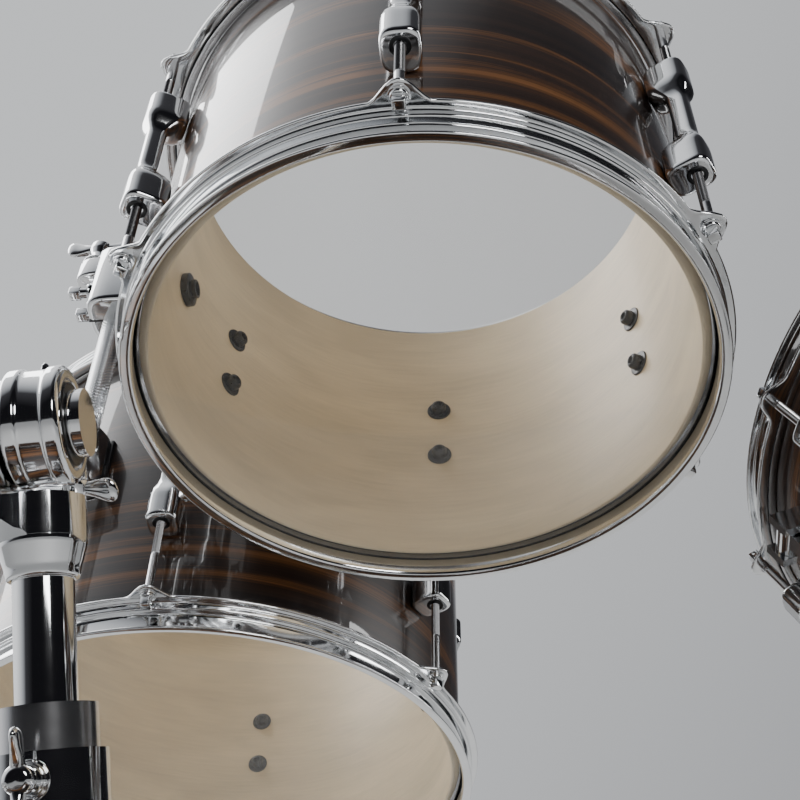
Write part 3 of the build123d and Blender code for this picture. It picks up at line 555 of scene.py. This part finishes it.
def lug_surface(drum, line):
    """Bridge lug: square end blocks that shrink through a shoulder to a round waist."""
    low, high = drum.lug_ends
    turn = np.linspace(0, np.pi / 2, 6)
    rim = np.concatenate([1 - np.cos(turn), np.linspace(1.4, 14, 12), np.linspace(14.5, 22, 3)]) * LUG_EDGE
    near = np.unique(np.clip(rim, 0, drum.lug_length / 2))
    from_end = np.concatenate([near, near[::-1]])
    heights = np.concatenate([low + near, high - near[::-1]])
    shoulder = 1 - smooth_step(20 * MM, min(33 * MM, 0.48 * drum.lug_length), from_end)
    edge = np.sqrt(np.clip(1 - (1 - np.clip(from_end / LUG_EDGE, 0, 1)) ** 2, 0, 1))
    inset = (1 - edge) * 2.4 * MM
    base, top = drum.radius + 0.4 * MM, drum.radius + line + LUG_TOP
    block_centre, block_half = (base + top) / 2, (top - base) / 2
    centre = block_centre * shoulder + (drum.radius + line) * (1 - shoulder)
    half_radial = block_half * shoulder + LUG_WAIST * (1 - shoulder) - inset
    half_side = LUG_HALF_WIDTH * shoulder + LUG_WAIST * (1 - shoulder) - inset
    centres = np.stack([centre, 0 * centre], axis=1)
    return lofted(heights, centres, np.stack([half_radial, half_side], axis=1), 3.6, 40)


def make_lugs(drum, line, finish):
    """All bridge lugs of a drum, each with rod sleeves at both ends."""
    piece = Piece(f"{drum.name}_lugs_cast", finish.chrome, finish.black)
    body = lug_surface(drum, line)
    sleeve = outline_mm([(3.3, 0), (5.6, 0), (5.6, 1.8), (3.3, 1.8)], 0.5, 3)
    for angle in drum.angles:
        piece.add(turn_z(body, angle), drum.axes)
        for end in drum.lug_ends:
            ring = turned(sleeve, 24) + np.array([drum.radius + line, 0, end - 0.9 * MM])
            piece.add(turn_z(ring, angle), drum.axes, closed=True, slot=1)
    return piece.make(drum.body, f"{drum.name}_lugs")


def rod_surface(length, threaded):
    """Rod shaft along local Z whose radius ripples as a fine thread over its first stretch."""
    plain = np.array([length * 0.999, length])
    turns = np.arange(0, threaded, ROD_PITCH / 2)
    heights = np.concatenate([turns, [threaded + 0.4 * MM], plain])
    ripple = np.where(np.arange(len(heights)) % 2 == 0, ROD_ROOT, ROD_CREST)
    ripple[-3:] = ROD_CREST
    return turned(np.stack([ripple, heights], axis=1), 12)


def make_rods(drum, line, seat, finish, threaded):
    """Tension rods with square key heads and washers, from every lug to both hoops."""
    piece = Piece(f"{drum.name}_rods_steel", finish.chrome, finish.satin)
    low, high = drum.lug_ends
    washer = outline_mm([(2.6, 0), (5.4, 0), (5.4, 1.4), (2.6, 1.4)], 0.4, 2)
    cup = outline_mm([(2.6, 1.4), (4.7, 1.4), (4.2, 2.9), (2.6, 2.9)], 0.4, 2)
    head = slab(2.9 * MM, 9.4 * MM, 3.2 * MM, 3.2 * MM, 0.7 * MM, power=9.0, count=24)
    for angle in drum.angles:
        for batter in (True, False):
            start = high if batter else drum.depth - low
            reach = drum.depth + seat - start
            base = np.array([drum.radius + line, 0, 0])
            parts = ((rod_surface(reach, threaded), start, False, 1),
                     (turned(washer, 24), start + reach, True, 0),
                     (turned(cup, 24), start + reach, True, 0), (head, start + reach, False, 0))
            for grid, height, closed, slot in parts:
                grid = grid + base + np.array([0, 0, height])
                if not batter:
                    grid = grid * np.array([1, 1, -1]) + np.array([0, 0, drum.depth])
                piece.add(turn_z(grid, angle), drum.axes, closed=closed, slot=slot)
    return piece.make(drum.body, f"{drum.name}_tension_rods")


def make_lug_bolts(drum, finish):
    """Black washers and domed screws inside a tom, and the nut of its air vent."""
    piece = Piece(f"{drum.name}_bolts_black", finish.black, finish.chrome)
    inner = drum.radius - drum.wall
    washer = outline_mm([(2.4, 0.05), (8.0, 0.05), (7.7, 1.3), (2.4, 1.3)], 0.5, 3)
    dome = outline_mm([(0.2, 1.2), (5.0, 1.2), (4.8, 5.6), (3.0, 7.0), (2.2, 6.4), (1.8, 4.4), (0.2, 4.2)],
                      0.8, 3, closed=False)
    shank = np.array([(2.45, -6.0), (2.45, 1.3)]) * MM
    nut = slab(0.05 * MM, 5 * MM, 9.5 * MM, 9.5 * MM, 1.0 * MM, power=2.6, count=30)
    tube = outline_mm([(4.2, 0.1), (5.8, 0.1), (5.8, 8), (4.2, 8)], 0.5, 3)
    bolt = ((turned(washer, 40), True), (turned(dome, 32), False), (turned(shank, 16), False))
    for angle in drum.angles:
        for side in (-1, 1):
            height = drum.depth / 2 + side * LUG_BOLT_SIDE
            for grid, closed in bolt:
                placed = along_radius(grid, inner, height, inward=True)
                piece.add(turn_z(placed, angle), drum.axes, closed=closed)
    vent = BRACKET_ANGLE[drum.name] - VENT_BESIDE_BRACKET
    for grid, closed in ((nut, False), (turned(tube, 24), True)):
        placed = along_radius(grid, inner, drum.depth / 2, inward=True)
        piece.add(turn_z(placed, vent), drum.axes, closed=closed)
    return piece.make(drum.body, f"{drum.name}_lug_bolts")


# ---- tom holder ----
BEND_HEIGHT = {"tom12": -30 * MM, "tom14": 30 * MM}  # an L-rod's corner, above the lower bearing edge
ARM_BEND = 24 * MM
ARM_SEAT = 32 * MM          # start of an L-rod, out from the tilter's axle
TIP_ABOVE_BRACKET = 10 * MM
KNURL_PITCH = 4.4 * MM
KNURL_STARTS = 9
KNURL_DEPTH = 0.42 * MM
TILTER_FACE = 12.6 * MM     # outer face of a tilter's block
TILTER_BOLTS = 31 * MM      # key bolts of a tilter, out from its axle
TILTER_BOLT_SIDE = 7.2 * MM
TILTER_HANDLE = 46 * MM     # handle of a tilter, out from its axle
BRACKET_BOLT_SIDE = 8.2 * MM
KEY_BOLT_LENGTH = 13 * MM
BOLT_CLEARANCE = 0.3 * MM   # a wing bolt off its seat


class Arm:
    """The L-rod of one tom: its seat in the tilter, its bend beside the drum and its tip."""

    def __init__(self, drum):
        name = drum.name
        line = drum.radius + ARM_LINE
        tip_height = BRACKET_LOW[name] + BRACKET_LENGTH + TIP_ABOVE_BRACKET
        self.bend = drum.axes.polar(line, BRACKET_ANGLE[name], BEND_HEIGHT[name])
        self.tip = drum.axes.polar(line, BRACKET_ANGLE[name], tip_height)
        self.axle = joint_place(f"{name}_tilt")
        self.reach = unit(self.bend - self.axle)
        self.seat = self.axle + self.reach * ARM_SEAT


def bent_path(start, corner, end, radius, step):
    """Centre line of two straight runs joined by a tangent arc, with its tangents and lengths.
    On the arc the tangent turns evenly: T = T1 cos a + M sin a, P = C - r (M cos a - T1 sin a)."""
    first, second = unit(corner - start), unit(end - corner)
    angle = math.acos(float(first.dot(second)))
    trim = radius * math.tan(angle / 2)
    side = unit(second - first * first.dot(second))
    begin, leave = corner - first * trim, corner + second * trim
    centre = begin + side * radius
    a = np.linspace(0, angle, 24)[1:-1, None]
    arc = centre - radius * (side * np.cos(a) - first * np.sin(a))
    arc_way = first * np.cos(a) + side * np.sin(a)
    run_one = np.arange(0, np.linalg.norm(begin - start), 4 * step)[:, None]
    run_two = np.arange(0, np.linalg.norm(end - leave), step)[:, None]
    points = np.concatenate([start + first * run_one, arc, leave + second * run_two, end[None]])
    ways = np.concatenate([np.tile(first, (len(run_one), 1)), arc_way,
                           np.tile(second, (len(run_two) + 1, 1))])
    normal = unit(np.cross(first, second))
    after = np.concatenate([np.full(len(run_one) + len(arc), -1.0), run_two[:, 0], [run_two[-1, 0] + step]])
    return points, ways, normal, after


def make_arm(drum, finish):
    """L-rod: round bar whose upper leg has a diamond knurl.  The knurl lowers the radius where one
    of two crossing helices |sin(na + ks)|, |sin(na - ks)| comes near zero, for n starts."""
    arm = Arm(drum)
    points, ways, normal, after = bent_path(arm.seat, arm.bend, arm.tip, ARM_BEND, 0.55 * MM)
    angle = np.linspace(0, 2 * np.pi, 72, endpoint=False)[None]
    wave = 2 * np.pi * after[:, None] / KNURL_PITCH
    starts = KNURL_STARTS * angle
    groove = np.minimum(np.abs(np.sin(starts + wave)), np.abs(np.sin(starts - wave)))
    length = after.max()
    knurled = smooth_step(2 * MM, 4 * MM, after) * (1 - smooth_step(length - 5 * MM, length - 3 * MM, after))
    tip = 1.2 * MM * smooth_step(length - 1.6 * MM, length, after)
    radius = ARM_RADIUS - KNURL_DEPTH * (1 - smooth_step(0.0, 0.55, groove)) * knurled[:, None] - tip[:, None]
    side = np.cross(ways, normal)
    ring = np.cos(angle)[..., None] * normal + np.sin(angle)[..., None] * side[:, None]
    piece = Piece(f"{drum.name}_l_rod_knurled", finish.chrome)
    piece.add(points[:, None] + radius[..., None] * ring)
    return piece.make(f"{drum.name}_arm", f"{drum.name}_l_rod")


def key_bolt(length):
    """Square-headed clamp bolt along local Z: flange, neck and head."""
    flange = turned(np.array([(0.1, 0), (5.4, 0), (5.6, 0.5), (5.2, 1.6), (0.1, 1.8)]) * MM, 32)
    neck = turned([(3.0 * MM, 1.5 * MM), (3.0 * MM, length - 6 * MM)], 24)
    head = slab(length - 7 * MM, length, 3.1 * MM, 3.1 * MM, 0.7 * MM, power=9.0, count=24)
    return flange, neck, head


def make_tilter(drum, finish):
    """Tilter: stepped hub between two black bearing rings, split block whose slit is a thin black sheet of
    painted shade, key bolts and a handle.
    """
    arm = Arm(drum)
    piece = Piece(f"{drum.name}_tilter_cast", finish.chrome, finish.black)
    hub = Axes(arm.axle, (1, 0, 0), arm.reach)
    half = [(8.2, 12.6), (20.6, 12.6), (21.6, 14.0), (25.8, 14.0), (28.0, 12.0), (28.0, 6.4), (26.8, 5.2)]
    outline = half + [(radius, -height) for radius, height in reversed(half)]
    piece.add(turned(outline_mm(outline, 1.0, 3), 128), hub, closed=True)
    for side in (-1, 1):
        ring = np.array([(8.4, 12.5), (19.8, 12.5), (19.8, 14.2), (8.4, 14.2)]) * np.array([1, side])
        piece.add(turned(outline_mm(ring, 0.5, 3), 64), hub, closed=True, slot=1)
    block = Axes(arm.axle, arm.reach, (1, 0, 0))
    piece.add(slab(20 * MM, 54 * MM, 12.9 * MM, 12.9 * MM, 2.6 * MM, power=5.0, count=40), block)
    # painted shade: a thin black sheet through the block stands for the dark gap of its split
    piece.add(slab(26 * MM, 54.0 * MM, 0.55 * MM, 13.05 * MM, 0.2 * MM, count=16), block, slot=1)
    down = block.y
    face = arm.axle + down * TILTER_FACE
    for side in (-TILTER_BOLT_SIDE, TILTER_BOLT_SIDE):
        place = Axes(face + arm.reach * TILTER_BOLTS + block.x * side, down, arm.reach)
        for grid in key_bolt(KEY_BOLT_LENGTH):
            piece.add(grid, place)
    handle = Axes(face + arm.reach * TILTER_HANDLE, down, block.x)
    for grid in t_handle():
        piece.add(grid, handle)
    return piece.make(f"{drum.name}_tilter", f"{drum.name}_tilter")


def t_handle():
    """Wing handle along local Z: washers, a waisted hub and two paddles.  The paddle's section
    grows from its root to its tip and closes in a quarter circle at the end."""
    hub = rounded([(0.1, 0), (8.8, 0), (8.8, 1.6), (7.2, 1.9), (7.2, 3.4), (6.2, 3.7), (5.4, 9), (6.6, 14),
                   (6.4, 19), (4.4, 20.5), (0.1, 20.8)], 0.7, 3, closed=False)
    reach = np.linspace(-1, 1, 41)
    away = np.abs(reach)
    close = np.sqrt(np.clip(1 - np.clip((away - 0.8) / 0.2, 0, 1) ** 2, 0.001, 1))
    centre = 16.5 + 3.2 * away ** 1.5
    tall = (3.4 + 2.6 * smooth_step(0.25, 0.8, away)) * close
    thin = (3.4 - 1.3 * smooth_step(0.1, 0.7, away)) * close
    paddles = lofted(reach * 21.6, np.stack([-centre, 0 * centre], 1), np.stack([tall, thin], 1), 2.6, 28)
    paddles = np.stack([paddles[..., 2], paddles[..., 1], -paddles[..., 0]], axis=-1)
    return turned(hub * MM, 48), paddles * MM


def make_wing_bolt(name, body, place, finish):
    """Wing bolt with a threaded shank below its washers."""
    piece = Piece(f"{name}_handle", finish.chrome, finish.satin)
    for grid in t_handle():
        piece.add(grid, place)
    turns = np.arange(-11.0, 0.2, 0.45)
    ripple = np.where(np.arange(len(turns)) % 2 == 0, 3.95, 3.55)
    piece.add(turned(np.stack([ripple, turns], axis=1) * MM, 20), place, slot=1)
    return piece.make(body, name)


def make_bracket(drum, finish):
    """Tom bracket: rounded clamp body on a black gasket, ear for the wing bolt, clamp bolts."""
    name = drum.name
    low, top = BRACKET_LOW[name], BRACKET_LOW[name] + BRACKET_LENGTH
    outer = drum.radius + ARM_LINE + ARM_RADIUS + 9 * MM
    inner = drum.radius - 1.5 * MM
    angle = BRACKET_ANGLE[name]
    piece = Piece(f"{name}_bracket_cast", finish.chrome, finish.black)
    body = slab(low, top, (outer - inner) / 2, 16.8 * MM, 3 * MM, ((outer + inner) / 2, 0), 4.5, 48)
    gasket = slab(low + 0.4 * MM, top - 0.4 * MM, 2.6 * MM, 17.0 * MM, 0.6 * MM, (drum.radius, 0), 9.0, 32)
    ear_centre = (drum.radius + WING_LINE - 8.2 * MM, 0)
    ear = slab(top - 16 * MM, top, 17 * MM, 8.9 * MM, 1.6 * MM, ear_centre, 3.2, 40)
    # painted shade: a thin black sheet through the clamp stands for the dark gap of its slit
    split = slab(low - 0.1 * MM, top - 17 * MM, 5.2 * MM, 0.6 * MM, 0.1 * MM, (outer - 5.0 * MM, 0), 9.0, 16)
    for grid, slot in ((body, 0), (gasket, 1), (ear, 0), (split, 1)):
        piece.add(turn_z(grid, angle), drum.axes, slot=slot)
    for side in (-BRACKET_BOLT_SIDE, BRACKET_BOLT_SIDE):
        for grid in key_bolt(KEY_BOLT_LENGTH):
            placed = along_radius(grid, outer - 0.6 * MM, low + 16 * MM) + np.array([0, side, 0])
            piece.add(turn_z(placed, angle), drum.axes)
    return piece.make(name, f"{name}_bracket")


def make_post(finish):
    """Holder post with a softened foot, and the flared collar under the tilter casting."""
    low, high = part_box("holder_post")
    centre = box_centre("holder_post")
    place = Axes((centre[0], centre[1], low[2]), (0, 0, 1))
    length = high[2] - low[2]
    wall = rounded([(12.3 * MM, 0), (14.3 * MM, 0), (14.3 * MM, length), (12.3 * MM, length)], 0.8 * MM, 3)
    flare = outline_mm([(14.3, 0), (16.8, 0), (17.6, 5), (20.9, 16), (20.9, 20), (14.3, 20)], 1.5, 4)
    piece = Piece("holder_post_tube", finish.chrome)
    piece.add(turned(wall, 96), place, closed=True)
    socket_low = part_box("holder_casting")[0][2]
    piece.add(turned(flare + np.array([0, socket_low - 18 * MM - low[2]]), 96), place, closed=True)
    return piece.make("post", "holder_post")


# ---- snare stand feet and the CAD nodes that stay ----
STAND_SPREAD = 235 * MM  # a leg's foot, out from the stand's axis
STAND_HINGE = 26 * MM    # a leg's hinge, out from the stand's axis


def make_stand_feet(finish):
    """Ribbed rubber caps over the feet of the stand's legs."""
    ribs = [(0.1, 0.0), (12.4, 0.0), (12.6, 1.2), (11.9, 2.4), (12.5, 3.8), (11.9, 5.2), (12.5, 6.6),
            (11.9, 8.0), (12.4, 9.6), (12.3, 20.2), (8.0, 20.6), (0.1, 20.6)]
    for number in (1, 2, 3):
        fold = f"stand_leg_{number}_fold"
        out = np.cross([0, 0, 1], joint_axis(fold))
        end = joint_place(fold) + out * (STAND_SPREAD - STAND_HINGE)
        end[2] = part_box(f"snare_stand_leg_{number}")[0][2]
        piece = Piece(f"stand_foot_{number}_rubber", finish.rubber)
        piece.add(turned(np.array(ribs) * MM, 48), Axes(end, (0, 0, 1)))
        piece.make(f"stand_leg_{number}")


FINISH_WORDS = (("foot", "rubber"), ("wires", "satin"), ("spur_brackets", "chrome"), ("collar", "satin"))


def finish_nodes(finish):
    """Gives each CAD node that stays its finish, chosen by a word in its name, chrome otherwise."""
    for name, node in frame["nodes"].items():
        if node.hide_render:
            continue
        kind = next((value for word, value in FINISH_WORDS if word in name), "chrome")
        for slot in node.material_slots:
            slot.material = getattr(finish, kind)


# ---- the studio ----
FLOOR_HALF = 14.0
LIGHT_TARGET = (-0.15, 0.0, 0.7)
LIGHTS = (  # name, place, size, share of the key light's power
    ("key_light", (-1.6, 0.9, 2.3), (1.8, 1.4), 1.0),
    ("front_fill", (0.9, -2.3, 1.7), (0.9, 0.7), 0.5),
    ("side_strip", (2.2, 0.6, 1.4), (0.3, 1.8), 0.35),
)
WINDOW_DIRECTION = (-0.62, 0.52, 0.59)
MIX_COLOR_A, MIX_COLOR_B, MIX_COLOR_RESULT = 6, 7, 2  # colour sockets of a Mix node
CAMERA_FROM_POST = np.array([0.174, -0.600, -0.038])  # from the holder's swivel
CAMERA_PITCH = 17.0
CAMERA_ROLL = 6.5
CAMERA_LENS = 58.9


def matrix_of(x, y, z, origin):
    """World matrix with the given axes and origin."""
    return Matrix([[x[k], y[k], z[k], origin[k]] for k in range(3)] + [[0, 0, 0, 1]])


def make_floor(color):
    """Pale matt floor."""
    corners = [(x * FLOOR_HALF, y * FLOOR_HALF, 0) for x, y in ((-1, -1), (1, -1), (1, 1), (-1, 1))]
    mesh = bpy.data.meshes.new("studio_floor")
    mesh.from_pydata(corners, [], [(0, 1, 2, 3)])
    shader = Shader("studio_floor", Roughness=0.8)
    shader.principled.inputs["Base Color"].default_value = (*color, 1.0)
    mesh.materials.append(shader.material)
    floor = bpy.data.objects.new("studio_floor", mesh)
    bpy.context.scene.collection.objects.link(floor)


def make_light(name, place, target, size, power):
    """Square soft light at a place, facing a target."""
    light = bpy.data.lights.new(name, "AREA")
    light.shape = "RECTANGLE"
    light.size, light.size_y = size
    light.energy = power
    holder = bpy.data.objects.new(name, light)
    back = Axes(place, np.array(place, float) - np.array(target, float))
    holder.matrix_world = matrix_of(back.x, back.y, back.z, place)
    bpy.context.scene.collection.objects.link(holder)


def make_world(strength):
    """Seen directly it is pale, with painted light that grows brighter towards the window direction."""
    world = bpy.data.worlds.new("studio_air")
    world.use_nodes = True
    air = Nodes(world.node_tree)
    lean = air.node("ShaderNodeVectorMath", {"operation": "DOT_PRODUCT"},
                    {0: air.node("ShaderNodeTexCoord"), 1: WINDOW_DIRECTION}, output=1)
    surround = air.ramp(lean, (0.0, (0.010, 0.010, 0.012)), (0.38, (0.06, 0.06, 0.066)),
                        (0.60, (0.62, 0.64, 0.67)), (0.85, (1.35, 1.36, 1.38)))
    # painted light: what only the camera sees grows brighter towards the window direction
    backdrop_painted_light = air.ramp(lean, (0.0, (0.36, 0.37, 0.38)), (0.35, (0.52, 0.53, 0.55)),
                        (0.75, (0.80, 0.82, 0.84)))
    camera_ray = air.node("ShaderNodeLightPath")
    choice = {"Factor": camera_ray, MIX_COLOR_A: surround, MIX_COLOR_B: backdrop_painted_light}
    seen = air.node("ShaderNodeMix", {"data_type": "RGBA"}, choice, output=MIX_COLOR_RESULT)
    background = air.tree.nodes["Background"]
    air.tree.links.new(seen.socket, background.inputs["Color"])
    background.inputs["Strength"].default_value = strength
    bpy.context.scene.world = world


def make_camera():
    """Camera low in front of the drummer's left tom, tipped up and rolled clockwise."""
    pitch, roll = math.radians(CAMERA_PITCH), math.radians(CAMERA_ROLL)
    ahead = np.array([0, math.cos(pitch), math.sin(pitch)])
    above = np.array([0, -math.sin(pitch), math.cos(pitch)])
    level = np.array([1.0, 0, 0])
    right = level * math.cos(roll) - above * math.sin(roll)
    top = level * math.sin(roll) + above * math.cos(roll)
    eye = joint_place("holder_swivel") + CAMERA_FROM_POST
    data = bpy.data.cameras.new("kit_camera")
    data.lens = CAMERA_LENS
    data.clip_start = 0.02
    camera = bpy.data.objects.new("kit_camera", data)
    camera.matrix_world = matrix_of(right, top, -ahead, eye)
    bpy.context.scene.collection.objects.link(camera)
    bpy.context.scene.camera = camera


# ---- settings, operators and panel ----
class DrumKitLook(bpy.types.PropertyGroup):
    """Colours and finishes a user would change."""

    veneer_streak: bpy.props.FloatVectorProperty(
        name="Veneer Streak", description="Orange-brown of the veneer's stripes",
        subtype="COLOR", size=3, default=(0.27, 0.115, 0.040), min=0, max=1)
    maple_color: bpy.props.FloatVectorProperty(
        name="Maple", description="Colour of the wood inside the shells",
        subtype="COLOR", size=3, default=(0.84, 0.71, 0.50), min=0, max=1)
    chrome_roughness: bpy.props.FloatProperty(
        name="Chrome Roughness", description="Blur of the chrome's reflections",
        subtype="FACTOR", default=0.07, min=0, max=1)
    clear_film: bpy.props.FloatProperty(
        name="Clear Film", description="How much haze a clear head shows",
        subtype="FACTOR", default=0.035, min=0, max=1)


class DrumKitStudio(bpy.types.PropertyGroup):
    """Light and floor of the studio."""

    key_power: bpy.props.FloatProperty(
        name="Key Light", description="Power of the main soft light", subtype="POWER", default=42.0, min=0)
    air_strength: bpy.props.FloatProperty(
        name="Studio Air", description="Brightness of the surrounding studio", default=0.9, min=0)
    floor_color: bpy.props.FloatVectorProperty(
        name="Floor", description="Colour of the pale floor",
        subtype="COLOR", size=3, default=(0.74, 0.74, 0.73), min=0, max=1)


made = {}


def finishes(context):
    """The shared materials, made the first time they are asked for."""
    if "finishes" not in made:
        made["finishes"] = Finishes(context.scene.drum_kit_look)
    return made["finishes"]


class DRUMKIT_OT_shells(bpy.types.Operator):
    """Build the ply shells of the four drums"""

    bl_idname = "drum_kit.shells"
    bl_label = "Build Shells"

    def execute(self, context):
        for drum in (*STEEL_DRUMS, BASS):
            make_shell(drum, finishes(context))
        return {"FINISHED"}


class DRUMKIT_OT_heads(bpy.types.Operator):
    """Build the heads: clear on the toms and under the snare drum, coated elsewhere"""

    bl_idname = "drum_kit.heads"
    bl_label = "Build Heads"

    def execute(self, context):
        finish = finishes(context)
        for drum in (*STEEL_DRUMS, BASS):
            for batter in (True, False):
                clear = drum.name != "bass" and (not batter or drum in TOMS)
                head = make_head(drum, batter, finish.clear if clear else finish.white, finish)
        return {"FINISHED"}


class DRUMKIT_OT_hoops(bpy.types.Operator):
    """Build the pressed steel hoops and the wooden bass hoops"""

    bl_idname = "drum_kit.hoops"
    bl_label = "Build Hoops"

    def execute(self, context):
        for batter in (True, False):
            for drum in STEEL_DRUMS:
                make_steel_hoop(drum, batter, finishes(context))
            make_wood_hoop(batter, finishes(context))
        return {"FINISHED"}


class DRUMKIT_OT_lugs(bpy.types.Operator):
    """Build the bridge lugs of the toms, snare drum and bass drum"""

    bl_idname = "drum_kit.lugs"
    bl_label = "Build Lugs"

    def execute(self, context):
        for drum in STEEL_DRUMS:
            make_lugs(drum, ROD_LINE, finishes(context))
        make_lugs(BASS, BASS_ROD_LINE, finishes(context))
        return {"FINISHED"}


class DRUMKIT_OT_rods(bpy.types.Operator):
    """Build the tension rods of the toms and snare drum and the bolts inside the toms"""

    bl_idname = "drum_kit.rods"
    bl_label = "Build Rods and Bolts"

    def execute(self, context):
        for drum in STEEL_DRUMS:
            make_rods(drum, ROD_LINE, FLANGE_OUT + STEEL, finishes(context), 26 * MM)
        for drum in TOMS:
            make_lug_bolts(drum, finishes(context))
        return {"FINISHED"}


class DRUMKIT_OT_holder(bpy.types.Operator):
    """Build the tom holder: post, tilters, L-rods, brackets and wing bolts"""

    bl_idname = "drum_kit.holder"
    bl_label = "Build Tom Holder"

    def execute(self, context):
        finish = finishes(context)
        make_post(finish)
        for drum in TOMS:
            make_arm(drum, finish)
            make_tilter(drum, finish)
            make_bracket(drum, finish)
            name = f"{drum.name}_wing_bolt"
            angle = BRACKET_ANGLE[drum.name]
            seat = drum.axes.polar(drum.radius + WING_LINE, angle, BRACKET_LOW[drum.name] + BRACKET_LENGTH)
            place = Axes(seat + drum.axes.z * BOLT_CLEARANCE, drum.axes.z, drum.axes.outward(angle))
            make_wing_bolt(name, f"{drum.name}_wing", place, finish)
        bolt = Axes(joint_place("base_wing_turn") + np.array([0, -BOLT_CLEARANCE, 0]), (0, -1, 0), (0, 0, 1))
        make_wing_bolt("base_wing_bolt", "base_wing", bolt, finish)
        return {"FINISHED"}


class DRUMKIT_OT_hardware(bpy.types.Operator):
    """Finish the claws, spurs, strainer and snare stand, and cap the stand's feet"""

    bl_idname = "drum_kit.hardware"
    bl_label = "Finish Hardware"

    def execute(self, context):
        make_stand_feet(finishes(context))
        finish_nodes(finishes(context))
        return {"FINISHED"}


class DRUMKIT_OT_studio(bpy.types.Operator):
    """Build the floor, soft lights, surrounding light and camera"""

    bl_idname = "drum_kit.studio"
    bl_label = "Build Studio"

    def execute(self, context):
        studio = context.scene.drum_kit_studio
        make_floor(studio.floor_color)
        for name, place, size, share in LIGHTS:
            make_light(name, place, LIGHT_TARGET, size, studio.key_power * share)
        make_world(studio.air_strength)
        make_camera()
        return {"FINISHED"}


OPERATORS = (DRUMKIT_OT_shells, DRUMKIT_OT_heads, DRUMKIT_OT_hoops, DRUMKIT_OT_lugs, DRUMKIT_OT_rods,
             DRUMKIT_OT_holder, DRUMKIT_OT_hardware, DRUMKIT_OT_studio)


class DRUMKIT_PT_panel(bpy.types.Panel):
    bl_idname = "DRUMKIT_PT_panel"
    bl_label = "Drum Kit"
    bl_space_type = "VIEW_3D"
    bl_region_type = "UI"
    bl_category = "Drum Kit"

    def draw(self, context):
        for group in (context.scene.drum_kit_look, context.scene.drum_kit_studio):
            for key in group.__annotations__:
                self.layout.prop(group, key)
        for operator in OPERATORS:
            self.layout.operator(operator.bl_idname)


CLASSES = (DrumKitLook, DrumKitStudio, *OPERATORS, DRUMKIT_PT_panel)


def register():
    """Registers the classes and hangs the settings on the scene."""
    for cls in CLASSES:
        bpy.utils.register_class(cls)
    bpy.types.Scene.drum_kit_look = bpy.props.PointerProperty(type=DrumKitLook)
    bpy.types.Scene.drum_kit_studio = bpy.props.PointerProperty(type=DrumKitStudio)


def unregister():
    """Takes the settings off the scene and unregisters the classes."""
    del bpy.types.Scene.drum_kit_look
    del bpy.types.Scene.drum_kit_studio
    for cls in reversed(CLASSES):
        bpy.utils.unregister_class(cls)


def main():
    """Builds every piece."""
    register()
    for operator in OPERATORS:
        group, step = operator.bl_idname.split(".")
        getattr(getattr(bpy.ops, group), step)()


if __name__ == "__main__":
    main()
